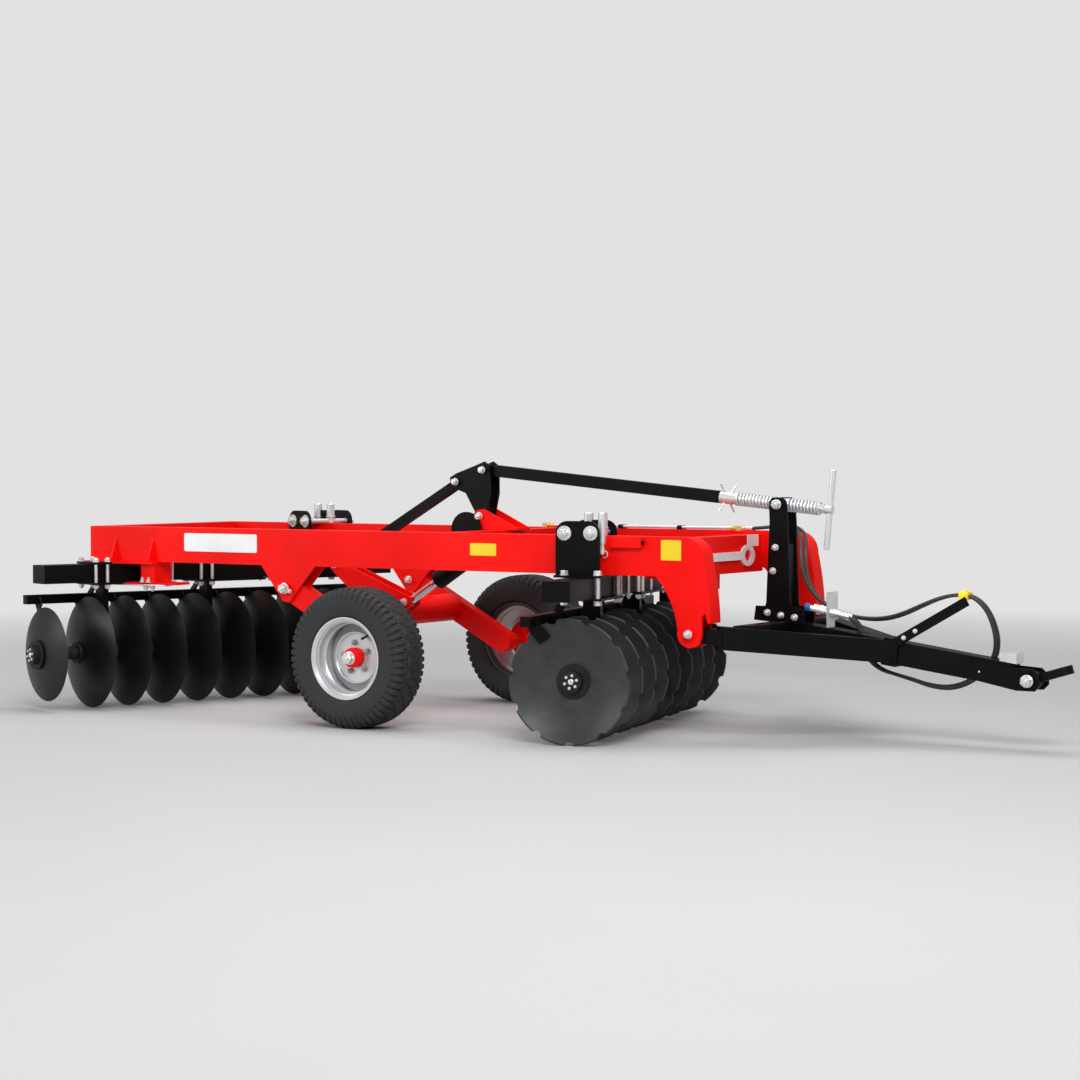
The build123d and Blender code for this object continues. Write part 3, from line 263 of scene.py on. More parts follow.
def plate(outline, place, across, normal, thickness, bevel=0.0012):
    """An outline in the plane of across and normal-cross-across, raised along normal, its edges
    drawn in towards the middle by the bevel."""
    normal = unit(normal)
    across = unit(across)
    up = np.cross(normal, across)
    outline = np.asarray(outline, float)
    middle = outline.mean(0)
    inner = middle + (outline - middle) * (1 - bevel / np.abs(outline - middle).max())
    rings = np.array([inner, outline, outline, inner])
    levels = np.array([0, bevel, thickness - bevel, thickness])
    return skin(np.asarray(place) + rings[..., :1] * across + rings[..., 1:] * up
                + levels[:, None, None] * normal)


def meshed(name, shape, finish, sharp):
    """An object with a shape's points and faces, smooth except where it turns by more than sharp."""
    points, faces = shape
    mesh = bpy.data.meshes.new(name)
    mesh.from_pydata(np.asarray(points).tolist(), [], faces)
    mesh.materials.append(finish)
    mesh.shade_smooth()
    mesh.set_sharp_from_angle(angle=radians(sharp))
    return added(name, mesh)


def piece(name, shape, finish, body, sharp=32):
    """A meshed shape that rides on a body."""
    made = meshed(name, shape, finish, sharp)
    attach(made, body)
    return made


# ------------------------ materials
class Shader:
    """A node material built step by step around one Principled shader."""

    def __init__(self, name, color, roughness, metallic=0.0, coat=0.0):
        self.material = bpy.data.materials.new(name)
        self.material.use_nodes = True
        self.tree = self.material.node_tree
        self.surface = self.tree.nodes["Principled BSDF"]
        for socket, value in (("Base Color", (*color, 1)), ("Roughness", roughness),
                              ("Metallic", metallic), ("Coat Weight", coat), ("Coat Roughness", 0.12)):
            self.surface.inputs[socket].default_value = value
        self.place = self.node("ShaderNodeTexCoord").outputs["Object"]

    def node(self, kind, **settings):
        """Adds a node: settings with a capital are its sockets, the others its properties."""
        made = self.tree.nodes.new(kind)
        for key, value in settings.items():
            if key[0].isupper():
                made.inputs[key.replace("_", " ")].default_value = value
            else:
                setattr(made, key, value)
        return made

    def link(self, source, target):
        self.tree.links.new(source, target)

    def noise(self, scale, detail=3.0, roughness=0.55):
        """Noise on the object's own coordinates."""
        made = self.node("ShaderNodeTexNoise", Scale=scale, Detail=detail, Roughness=roughness)
        self.link(self.place, made.inputs["Vector"])
        return made.outputs["Fac"]

    def ramp(self, fac, stops):
        """Color ramp through (position, color) stops."""
        made = self.node("ShaderNodeValToRGB")
        elements = made.color_ramp.elements
        elements[0].position, elements[0].color = stops[0][0], (*stops[0][1], 1)
        elements[1].position, elements[1].color = stops[-1][0], (*stops[-1][1], 1)
        for position, color in stops[1:-1]:
            elements.new(position).color = (*color, 1)
        self.link(fac, made.inputs["Fac"])
        return made.outputs["Color"]

    def spread(self, fac, low, high, start=0.3, end=0.7):
        """A number that runs from low to high as fac runs from start to end."""
        made = self.node("ShaderNodeMapRange", From_Min=start, From_Max=end, To_Min=low, To_Max=high)
        self.link(fac, made.inputs["Value"])
        return made.outputs["Result"]

    def vector(self, operation, source, other=None):
        """Vector maths on a socket, with a second vector where the operation takes one."""
        made = self.node("ShaderNodeVectorMath", operation=operation)
        self.link(source, made.inputs[0])
        if other is not None:
            made.inputs[1].default_value = other
        return made

    def mix(self, fac, a, b):
        """A color from a, where fac is 0, to b, where it is 1; each is a color or a socket."""
        made = self.node("ShaderNodeMix", data_type="RGBA", blend_type="MIX")
        for socket, value in ((made.inputs["Factor"], fac), (made.inputs["A"], a), (made.inputs["B"], b)):
            if isinstance(value, tuple):
                socket.default_value = (*value, 1)
            else:
                self.link(value, socket)
        return made.outputs["Result"]

    def shine(self, level):
        """Strength of the gloss over the base color."""
        self.surface.inputs["Specular IOR Level"].default_value = level

    def color(self, source):
        self.link(source, self.surface.inputs["Base Color"])

    def rough(self, source):
        self.link(source, self.surface.inputs["Roughness"])

    def bump(self, height, strength, distance):
        """Adds a layer of bump over those before it."""
        made = self.node("ShaderNodeBump", Strength=strength, Distance=distance)
        self.link(height, made.inputs["Height"])
        normal = self.surface.inputs["Normal"]
        if normal.links:
            self.link(normal.links[0].from_socket, made.inputs["Normal"])
        self.link(made.outputs["Normal"], normal)


def floor_material():
    """Matt pale floor that turns into the background's even tone away from the machine."""
    shader = Shader("studio_floor", (0.47, 0.47, 0.47), 0.7)
    shader.shine(0.05)
    patches = shader.noise(0.6, 2)
    shader.color(shader.ramp(patches, [(0.3, (0.462, 0.464, 0.467)), (0.7, (0.48, 0.48, 0.48))]))
    distance = shader.vector("LENGTH", shader.place)
    even = shader.node("ShaderNodeEmission", Strength=1.0)
    even.inputs["Color"].default_value = (backdrop, backdrop, backdrop, 1)
    mixed = shader.node("ShaderNodeMixShader")
    shader.link(shader.spread(distance.outputs["Value"], 0.0, 1.0, fade_from, fade_to), mixed.inputs[0])
    shader.link(shader.surface.outputs[0], mixed.inputs[1])
    shader.link(even.outputs[0], mixed.inputs[2])
    shader.link(mixed.outputs[0], shader.tree.nodes["Material Output"].inputs["Surface"])
    return shader.material


def paint(name, color, roughness, coat, shine, dust=(0.5, 0.5, 0.5)):
    """Sprayed enamel: faint patches of film thickness, orange peel and specks of dust."""
    shader = Shader(name, color, roughness, coat=coat)
    shader.shine(shine)
    film = shader.noise(2.2, 4)
    deep = tuple(0.84 * c for c in color)
    bright = tuple(min(1.0, 1.08 * c + 0.002) for c in color)
    coated = shader.ramp(film, [(0.3, deep), (0.5, color), (0.72, bright)])
    specks = shader.noise(95, 2, 0.7)
    dusty = shader.spread(specks, 0.0, 0.02, 0.62, 0.75)
    shader.color(shader.mix(dusty, coated, dust))
    shader.rough(shader.spread(shader.noise(7, 5), roughness - 0.05, roughness + 0.08))
    shader.bump(shader.noise(420, 2, 0.5), 0.05, 0.0006)
    shader.bump(shader.noise(26, 2, 0.4), 0.05, 0.002)
    return shader.material


def zinc_plate(name="zinc", color=(0.72, 0.73, 0.73), metallic=0.62):
    """Bright zinc plating with faint passivation clouds and fine scratches."""
    shader = Shader(name, color, 0.32, metallic=metallic)
    cloud = shader.noise(14, 4)
    warm = tuple(c * s for c, s in zip(color, (1.05, 1.0, 0.9)))
    cool = tuple(c * s for c, s in zip(color, (0.9, 0.95, 1.03)))
    shader.color(shader.ramp(cloud, [(0.3, cool), (0.5, color), (0.7, warm)]))
    shader.rough(shader.spread(shader.noise(22, 3), 0.26, 0.42))
    shader.bump(shader.noise(60, 2), 0.03, 0.0004)
    return shader.material


def chrome():
    """Polished chrome of the cylinder's rod."""
    shader = Shader("chrome_rod", (0.82, 0.82, 0.83), 0.08, metallic=1.0)
    shader.rough(shader.spread(shader.noise(40, 3), 0.05, 0.13))
    shader.bump(shader.noise(500, 2), 0.02, 0.0002)
    return shader.material


def disc_steel(gang):
    """Dark hardened steel with rings of turning marks around the gang's axis. The rear gang,
    which the rail shades, is darker than the front one."""
    joint = joints[f"{gang}_gang_spin"]
    shader = Shader(f"disc_steel_{gang}", (0.03, 0.03, 0.03), 0.42)
    shader.shine(0.35)
    shift = shader.vector("SUBTRACT", shader.place, joint["pos_m"])
    across = shader.vector("CROSS_PRODUCT", shift.outputs["Vector"], joint["axis"])
    radius = shader.vector("LENGTH", across.outputs["Vector"])
    rings = shader.node("ShaderNodeTexNoise", noise_dimensions="1D", Scale=160.0, Detail=4.0)
    shader.link(radius.outputs["Value"], rings.inputs["W"])
    cloud = shader.noise(9, 5)
    tone = 1.6 if gang == "front" else 0.26
    shader.color(shader.ramp(cloud, [(0.3, (0.016 * tone,) * 3), (0.55, (0.022 * tone,) * 3),
                                     (0.75, (0.030 * tone,) * 3)]))
    shader.rough(shader.spread(rings.outputs["Fac"], 0.34, 0.52))
    shader.bump(rings.outputs["Fac"], 0.12, 0.0006)
    shader.bump(shader.noise(180, 3), 0.07, 0.0004)
    return shader.material


def cast_iron():
    """Rough black castings of the gang's spools and bearings."""
    shader = Shader("gang_iron", (0.028, 0.028, 0.030), 0.55, metallic=0.2)
    shader.shine(0.3)
    skin_tone = shader.noise(30, 4)
    shader.color(shader.ramp(skin_tone, [(0.3, (0.007, 0.007, 0.007)), (0.7, (0.015, 0.015, 0.014))]))
    shader.bump(shader.noise(320, 4, 0.7), 0.25, 0.0009)
    return shader.material


def rubber(name, color, roughness=0.72, grain=300, dust=(0.20, 0.19, 0.17)):
    """Moulded rubber with a dull bloom and fine grain."""
    shader = Shader(name, color, roughness)
    shader.shine(0.3)
    bloom = shader.noise(5, 5)
    pale = tuple(1.45 * c for c in color)
    body = shader.ramp(bloom, [(0.3, color), (0.7, pale)])
    shader.color(shader.mix(shader.spread(shader.noise(38, 4), 0.0, 0.10, 0.55, 0.75), body, dust))
    shader.rough(shader.spread(bloom, roughness - 0.08, roughness + 0.08))
    shader.bump(shader.noise(grain, 3, 0.6), 0.12, 0.0006)
    return shader.material


def silver_paint():
    """Metallic silver wheel lacquer, with painted shade on the inboard part of the wheels' barrels,
    which lies nearer to the machine's middle than the fade's outer end: a near-black colour standing in for the
    shadow inside the wheels."""
    # Distances from the machine's middle over which the painted shade of the barrels' insides fades into the
    # silver
    painted_shade_from, painted_shade_to = 0.715, 0.735
    shader = Shader("rim_silver", (0.62, 0.63, 0.64), 0.36, metallic=0.55, coat=0.25)
    flake = shader.noise(900, 2, 0.5)
    silver = shader.ramp(flake, [(0.35, (0.55, 0.56, 0.57)), (0.65, (0.69, 0.70, 0.71))])
    parts = shader.node("ShaderNodeSeparateXYZ")
    shader.link(shader.place, parts.inputs[0])
    off_centre = shader.node("ShaderNodeMath", operation="ABSOLUTE")
    shader.link(parts.outputs["Y"], off_centre.inputs[0])
    outboard = shader.spread(off_centre.outputs[0], 0.0, 1.0, painted_shade_from, painted_shade_to)
    # painted shade: near-black where the barrel lies inboard, in place of the shadow inside the wheel
    shader.color(shader.mix(outboard, (0.05, 0.05, 0.05), silver))
    shader.rough(shader.spread(shader.noise(6, 4), 0.30, 0.44))
    shader.bump(shader.noise(150, 3), 0.05, 0.0004)
    return shader.material


red = paint("red_paint", (0.86, 0.003, 0.001), roughness=0.45, coat=0.03, shine=0.12,
            dust=(0.8, 0.03, 0.03))
black = paint("black_paint", (0.0022, 0.0022, 0.0024), roughness=0.40, coat=0.02, shine=0.11,
              dust=(0.022, 0.022, 0.022))
dark_zinc = zinc_plate("dark_zinc", (0.34, 0.34, 0.33))
pale_zinc = zinc_plate("pale_zinc", (0.78, 0.79, 0.79), metallic=0.15)
white_plate = paint("white_plate", (0.80, 0.80, 0.79), roughness=0.35, coat=0.1, shine=0.4)
yellow_plate = paint("yellow_plate", (0.82, 0.58, 0.01), roughness=0.35, coat=0.1, shine=0.4)
blue_cap = paint("blue_cap", (0.01, 0.08, 0.35), roughness=0.4, coat=0.0, shine=0.4)
zinc = zinc_plate()
finishes = {
    "red_paint": red,
    "black_paint": black,
    "zinc": zinc,
    "chrome_rod": chrome(),
    "shaft_steel": cast_iron(),
    "tyre": rubber("tyre_rubber", (0.021, 0.021, 0.0215), dust=(0.06, 0.058, 0.055)),
    "rim_silver": silver_paint(),
    "hose_rubber": rubber("hose_rubber", (0.030, 0.029, 0.027), roughness=0.42, grain=500,
                          dust=(0.09, 0.085, 0.08)),
    "yellow_zinc": zinc_plate("yellow_zinc", (0.80, 0.62, 0.20)),
    "yellow_plastic": rubber("yellow_plastic", (0.75, 0.50, 0.02), roughness=0.45, grain=200,
                             dust=(0.5, 0.4, 0.2)),
}


def dress_nodes():
    """Gives each solid the finish of its slot in the record; discs get one per gang, and the
    spanner on the front beam is paler than the other zinc."""
    for subpart in frame["record"]["subparts"]:
        name, slot = subpart["node"], subpart["material_slot"]
        shown = nodes[name]
        finish = disc_steel(name.split("_")[0]) if slot == "disc_steel" else finishes[slot]
        if name == "ring_spanner":
            finish = pale_zinc
        shown.data.materials.clear()
        shown.data.materials.append(finish)


place_camera()
studio()
dress_nodes()


# ------------------------ hoses
# Control points of each hose: station, y and height in metres, from the rail's front fitting
# past the mast to the clip, down beside the pole and back under it to its coupling.
hose_routes = (
    ((1.500, 0.540, 1.007), (1.580, 0.540, 1.007), (1.680, 0.536, 1.018), (1.780, 0.502, 1.024),
     (1.868, 0.434, 1.008), (1.935, 0.346, 0.980), (1.986, 0.252, 0.946), (2.026, 0.166, 0.892),
     (2.064, 0.108, 0.806), (2.120, 0.092, 0.712), (2.206, 0.098, 0.641), (2.311, 0.106, 0.602),
     (2.421, 0.104, 0.589), (2.531, 0.080, 0.597), (2.638, 0.044, 0.626), (2.742, 0.008, 0.668),
     (2.846, -0.018, 0.708), (2.942, -0.033, 0.729), (3.026, -0.032, 0.722), (3.082, -0.014, 0.668),
     (3.108, 0.012, 0.590), (3.112, 0.046, 0.508), (3.088, 0.078, 0.430), (3.030, 0.088, 0.364),
     (2.952, 0.088, 0.306), (2.860, 0.084, 0.277), (2.762, 0.080, 0.283), (2.668, 0.077, 0.308),
     (2.580, 0.074, 0.328), (2.504, 0.070, 0.346), (2.446, 0.068, 0.388), (2.420, 0.068, 0.448),
     (2.406, 0.066, 0.510), (2.388, 0.056, 0.564), (2.350, 0.036, 0.600), (2.296, 0.020, 0.612)),
    ((1.500, 0.566, 1.007), (1.582, 0.566, 1.007), (1.688, 0.561, 1.020), (1.796, 0.524, 1.026),
     (1.888, 0.452, 1.008), (1.956, 0.363, 0.978), (2.006, 0.270, 0.942), (2.042, 0.188, 0.886),
     (2.072, 0.133, 0.800), (2.122, 0.118, 0.705), (2.206, 0.124, 0.635), (2.311, 0.132, 0.596),
     (2.421, 0.130, 0.583), (2.531, 0.106, 0.591), (2.638, 0.070, 0.621), (2.742, 0.034, 0.665),
     (2.846, 0.008, 0.708), (2.942, -0.007, 0.729), (3.026, -0.006, 0.722), (3.082, 0.012, 0.670),
     (3.112, 0.038, 0.592), (3.118, 0.072, 0.508), (3.092, 0.104, 0.426), (3.030, 0.114, 0.356),
     (2.952, 0.114, 0.296), (2.860, 0.110, 0.265), (2.762, 0.106, 0.271), (2.668, 0.103, 0.300),
     (2.580, 0.100, 0.322), (2.504, 0.096, 0.344), (2.446, 0.094, 0.388), (2.420, 0.094, 0.448),
     (2.406, 0.092, 0.510), (2.390, 0.085, 0.561), (2.353, 0.069, 0.598), (2.296, 0.056, 0.612)),
)
hose_dia = 0.018


def hose_line(name, route):
    """Points along the smooth line that has the route as its control points."""
    curve = bpy.data.curves.new(name, "CURVE")
    curve.dimensions = "3D"
    spline = curve.splines.new("NURBS")
    spline.points.add(len(route) - 1)
    for point, place in zip(spline.points, route):
        point.co = (*spot(*place), 1)
    spline.order_u = 3
    spline.use_endpoint_u = True
    spline.resolution_u = 8
    shown = added(name, curve)
    line = bpy.data.meshes.new_from_object(shown)
    points = np.empty(len(line.vertices) * 3)
    line.vertices.foreach_get("co", points)
    bpy.data.objects.remove(shown)
    return points.reshape(-1, 3)


def ferrule(start, towards, length=0.062):
    """Crimped sleeve with its hexagon, from the fitting's face along the hose."""
    radius = hose_dia / 2
    sleeve = [(radius + 0.0005, 0.018), (radius + 0.004, 0.020), (radius + 0.004, 0.028),
              (radius + 0.0025, 0.030), (radius + 0.0025, 0.034), (radius + 0.004, 0.036),
              (radius + 0.004, length - 0.004), (radius + 0.002, length), (radius - 0.001, length)]
    collar = [(radius + 0.003, 0.0), (radius + 0.0055, 0.002), (radius + 0.0055, 0.016),
              (radius + 0.003, 0.018)]
    return joined([lathe(sleeve, start, towards, 20), lathe(collar, start, towards, 6)])


def hang_hoses():
    """Both hoses with their ferrules: the ferrule at the rail's front fitting rides on the frame, and the one at
    the coupling on the drawbar."""
    for number, route in enumerate(hose_routes, 1):
        line = hose_line(f"hose_line_{number}", route)
        hose = meshed(f"hydraulic_hose_{number}", carried(line, hose_dia / 2, 14),
                      finishes["hose_rubber"], sharp=50)
        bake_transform(hose)
        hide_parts(f"hose_{number}")
        first = piece(f"hose_ferrule_{number}_frame", ferrule(line[0], line[1] - line[0]), zinc,
                      "chassis")
        last = piece(f"hose_ferrule_{number}_coupling", ferrule(line[-1], line[-2] - line[-1]), zinc,
                     "drawbar")


hang_hoses()


# ------------------------ wheels
half_track = abs(right_wheel_y)
# Half of the tyre's section from the bead to the middle of the tread: radius, distance outwards.
tyre_section = ((0.1955, 0.090), (0.203, 0.0975), (0.2125, 0.1005), (0.2145, 0.107), (0.221, 0.1135),
                (0.236, 0.1165), (0.262, 0.1212), (0.290, 0.1222), (0.312, 0.1190), (0.331, 0.1125),
                (0.3445, 0.1035), (0.3525, 0.092), (0.3572, 0.076), (0.3588, 0.050), (0.3590, 0.020),
                (0.3590, 0.0))
wheel_face = 0.005  # outer face of the wheel's disc, outwards from the wheel's middle
wheel_bolts, bolt_circle = 5, 0.077
# Section of the red collar round each hub and of the rim's three pressed ridges: radius, and
# distance outwards from the wheel's disc for the collar or from the wheel's middle for the ridges.
collar_section = [(0.0345, 0.0), (0.0345, 0.051), (0.047, 0.050), (0.051, 0.044), (0.051, 0.004),
                  (0.049, 0.0)]
ridge_sections = (
    [(0.121, 0.004), (0.121, 0.012), (0.125, 0.016), (0.131, 0.016), (0.135, 0.012), (0.135, 0.004)],
    [(0.178, 0.018), (0.172, 0.024), (0.172, 0.034), (0.178, 0.040), (0.1895, 0.040), (0.1895, 0.018)],
    [(0.184, 0.074), (0.180, 0.080), (0.184, 0.088), (0.1895, 0.090), (0.1895, 0.074)],
)


def smooth_line(points, steps):
    """Quadratic B-spline along a line of control points, its ends kept: (1-t)^2/2, 1/2+t(1-t) and
    t^2/2 of three points in a row."""
    points = np.asarray(points, float)
    points = np.vstack([2 * points[0] - points[1], points, 2 * points[-1] - points[-2]])
    t = np.arange(steps)[:, None, None] / steps
    before, here, after = points[:-2], points[1:-1], points[2:]
    spread = (0.5 * (1 - t) ** 2 * before + (0.5 + t * (1 - t)) * here + 0.5 * t ** 2 * after)
    return spread.transpose(1, 0, 2).reshape(-1, points.shape[1])


def step(value, start, end):
    """Smooth rise from 0 at start to 1 at end."""
    share = np.clip((value - start) / (end - start), 0, 1)
    return share * share * (3 - 2 * share)


def groove(phase, width, edge=0.10):
    """1 in a groove that takes that share of each whole phase, 0 on the block beside it."""
    off = np.abs((phase + 0.5) % 1 - 0.5)
    return 1 - step(off, width / 2 - edge / 2, width / 2 + edge / 2)


def treaded_tyre(side, blocks=58, half_width=0.1225):
    """The section turned round the axle, sunk by the depth of its grooves: three wavy ones round
    the tread, slanted ones between its blocks, and deep slots across the shoulders. turn counts
    the blocks round the tyre, and width runs from -1 to 1 across it."""
    half = smooth_line(tyre_section, 3)[1:-2]
    section = np.vstack([half * (1, -1), half[::-1][1:]])
    radius, out = section.T
    around = blocks * 8
    angle = np.arange(around) * tau / around
    turn = angle * blocks / tau
    width = out[None, :] / half_width
    shoulder = step(np.abs(width), 0.56, 0.62) * step(radius, 0.300, 0.312)[None, :]
    crown = step(radius, 0.348, 0.354)[None, :]
    slots = groove(turn[:, None] + 0.25 * np.sign(width) + 0.35 * np.abs(width), 0.34)
    blocks_cut = groove(turn[:, None] * 0.5 + 1.4 * width, 0.13, 0.06)
    wave = 0.035 * np.sin(pi * turn)[:, None]
    rounds = groove((np.abs(width) - 0.42 + wave) / 0.9, 0.11, 0.06) * (np.abs(width) < 0.64)
    middle = groove((width + wave) / 0.9, 0.085, 0.06) * (np.abs(width) < 0.2)
    slot_depth, round_depth, middle_depth, cut_depth = 0.0110, 0.0100, 0.0095, 0.0080
    depth = np.maximum.reduce([slot_depth * slots * shoulder, round_depth * rounds * crown,
                               middle_depth * middle * crown,
                               cut_depth * blocks_cut * crown * (1 - shoulder)])
    height = radius[None, :] - depth
    pulled_in = out[None, :] * (1 - 2.4 * depth)
    ring = np.stack([height * np.cos(angle)[:, None], pulled_in, height * np.sin(angle)[:, None]], -1)
    rows = ring.transpose(1, 0, 2)[::-1]
    return skin(rows + spot(0, side * half_track, axle_height), ends=False)


def dress_wheels():
    """Treaded tyre, bolts, hub nut, hub collar, rim ridges and valve of each wheel."""
    for name, side in (("right", -1), ("left", 1)):
        body = f"wheel_{name}"
        outwards = np.array([0.0, side, 0.0])
        tyre = piece(f"treaded_tyre_{name}", treaded_tyre(side), finishes["tyre"], body, 28)
        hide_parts(f"tyre_{name}")
        centre = spot(0, side * half_track, axle_height)
        face = centre + outwards * wheel_face
        ring = radians(98) + np.arange(wheel_bolts) * tau / wheel_bolts
        bolts = [nut(face + bolt_circle * np.array([np.cos(a) * -side, 0, np.sin(a)]), outwards, 0.024,
                     turn=a, stud=0.3) for a in ring]
        piece(f"wheel_bolts_{name}", joined(bolts), dark_zinc, body)
        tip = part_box(f"hub_{name}")[0 if side < 0 else 1][1]
        hub_end = spot(0, tip, axle_height) - outwards * 0.004
        piece(f"hub_nut_{name}", nut(hub_end, outwards, 0.052, stud=0.12), zinc, body)
        piece(f"hub_collar_{name}", hoop(collar_section, face, outwards, 40), red, body)
        ridges = [hoop(section, centre, outwards) for section in ridge_sections]
        piece(f"rim_ridges_{name}", joined(ridges), finishes["rim_silver"], body)
        root = centre + outwards * 0.003 + np.array([0.078, 0, 0.118])
        lean = unit(outwards + np.array([-0.35, 0, -0.45]))
        stem = [rod(root, root + lean * 0.034, 0.0055, 12),
                rod(root + lean * 0.033, root + lean * 0.052, 0.0072, 12)]
        piece(f"tyre_valve_{name}", joined(stem), finishes["hose_rubber"], body)


dress_wheels()


# ------------------------ levelling linkage
link_start = np.array(joints["top_link_tilt"]["pos_m"])
trunnion = spot(2.005, 0, 1.146)  # middle of the pin at the mast's top
link_run = float(np.linalg.norm(trunnion - link_start))
link_dir = (trunnion - link_start) / link_run
link_up = np.array([-link_dir[2], 0.0, link_dir[0]])
tube_end = 1.400  # end of the link's tube, along it from the crank's pin
rear_spring = (tube_end + 0.095, link_run - 0.034)
front_spring = (link_run + 0.034, link_run + 0.205)
spring_radius, spring_wire, spring_pitch = 0.0290, 0.0055, 0.0185
handle_at, handle_reach = link_run + 0.262, 0.195
spoke_reach, spoke_lean = 0.076, 0.028


def on_link(distance, up=0.0, side=0.0):
    """A point along the top link from the crank's pin, and above or beside it."""
    return link_start + link_dir * distance + link_up * up + LEFT * side


def dress_levelling_screw():
    """Screw, sleeve with its four spokes, springs on both sides of the trunnion, and T handle."""
    sleeve = [(0.024, 0), (0.031, 0.004), (0.031, 0.070), (0.026, 0.074), (0.026, 0.090),
              (0.034, 0.092), (0.034, 0.098), (0.020, 0.100)]
    metal = [rod(on_link(tube_end - 0.03), on_link(handle_at), 0.0165, 20),
             lathe(sleeve, on_link(tube_end + 0.002), link_dir, 24),
             rod(on_link(link_run, side=-0.032), on_link(link_run, side=0.032), 0.030, 28)]
    middle = on_link(tube_end + 0.040)
    for side in (1, -1):
        spoke = unit(link_up + LEFT * side * 0.45)
        reach = spoke * spoke_reach + link_dir * spoke_lean * side
        metal.append(rod(middle - reach, middle + reach, 0.0052, 10))
    for low, high in (rear_spring, front_spring):
        metal.append(coil(on_link(low), on_link(high), spring_radius, spring_wire,
                          (high - low) / spring_pitch, 24))
        for place in (low - 0.003, high - 0.003):
            metal.append(lathe([(0.018, 0), (0.033, 0.0005), (0.033, 0.0055), (0.018, 0.006)],
                               on_link(place), link_dir, 24))
    metal += [nut(on_link(link_run + 0.208), link_dir, 0.044, stud=0, washer=False),
              lathe([(0.015, 0), (0.023, 0.002), (0.023, 0.034), (0.018, 0.038)],
                    on_link(link_run + 0.240), link_dir, 20),
              rod(on_link(handle_at, up=-handle_reach), on_link(handle_at, up=handle_reach), 0.0150, 20)]
    screw = piece("levelling_screw_and_springs", joined(metal), zinc, "top_link")
    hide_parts("levelling_screw")


dress_levelling_screw()


# ------------------------ fasteners and small fittings
rail_side = 0.618  # outer face of each rail
rail_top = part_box("rail_right")[1][2]
bar_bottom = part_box("front_gang_bar")[0][2]
plate_under = bar_bottom - 0.012  # under the plates that hang below the gang bars
plate_over = bar_bottom + 0.112  # top of the plates over them
# For each gang: middle of its saddle along the shaft, how far the saddle lies ahead of the shaft,
# how far the bar does, starts of the hangers' clamp plates, and ends of the shaft's caps.
gang_fits = {
    "front": (0.3219, -0.043, -0.020, (0.813,), (-0.052, 1.790)),
    "rear": (1.5107, 0.100, 0.050, (0.023, 0.677), (-0.286, 1.796)),
}
saddle_half, saddle_bolt = 0.145, 0.067  # half the saddle's width; its tie bolts from its middle
strap_offset, bolt_beside = 0.160, 0.086  # the strap bolts from the saddle's middle and the bar's
tie_height = rail_top + 0.014
ring_bolts, ring_radius = 6, 0.031  # bolts on the cap of each gang's shaft
clamp_beside = 0.078  # the U bolts' legs from the bar's middle
clamp_places = {"front": (0.560, 0.690, 1.085, 1.300), "rear": (1.180, 1.240, 0.520)}
pipe_rows = (0.540, 0.566)  # y of the two pipes on the left rail
pipe_height = 1.007
# Nuts on faces square to Y, on both sides of the machine or of the linkage: the body that they
# ride on, and for each the station, the height, the face's y and the width across the hexagon.
side_nuts = {
    "bracket_nuts": ("chassis", ((-0.602, 0.686, 0.630, 0.044), (-0.566, 0.672, 0.630, 0.018))),
    "ear_nuts": ("chassis", ((1.826, 0.533, 0.630, 0.032),)),
    "crank_nuts": ("bell_crank", ((0.267, 1.310, 0.056, 0.030), (0.097, 1.247, 0.056, 0.030))),
    "tower_nuts": ("chassis", ((0.254, 1.066, 0.064, 0.032),)),
    "mast_nuts": ("drawbar", ((1.995, 0.934, 0.052, 0.026), (1.982, 0.818, 0.052, 0.026),
                              (1.956, 0.613, 0.058, 0.026), (2.030, 0.601, 0.058, 0.026),
                              (2.105, 0.593, 0.058, 0.026), (2.005, 1.146, 0.060, 0.038))),
    "hitch_nuts": ("drawbar", ((3.316, 0.338, 0.078, 0.046),)),
    "pole_bolts": ("drawbar", ((3.072, 0.370, 0.050, 0.016),)),
    "lever_nuts": ("lift_axle", ((-0.236, 0.597, 0.0575, 0.032), (-0.700, 0.790, 0.0575, 0.032))),
}


def gang_place(gang):
    """The gang's directions along its shaft and ahead of it, and a point from both and a height."""
    joint = joints[f"{gang}_gang_spin"]
    origin, along = np.array(joint["pos_m"]), np.array(joint["axis"])
    ahead = np.array([along[1], -along[0], 0.0])

    def place(distance, forwards, z):
        point = origin + distance * along + forwards * ahead
        return np.array([point[0], point[1], z])
    return along, ahead, place


def stud_bolt(place, low, high, radius, across, plates):
    """Upright bolt beside a gang bar, with a nut above and below the plates that it pulls."""
    x, y = place[:2]
    below, above = plates
    return [rod((x, y, low), (x, y, high), radius),
            nut((x, y, above), UP, across, turn=x * 9, stud=0),
            nut((x, y, below), DOWN, across, turn=y * 9, stud=0)]


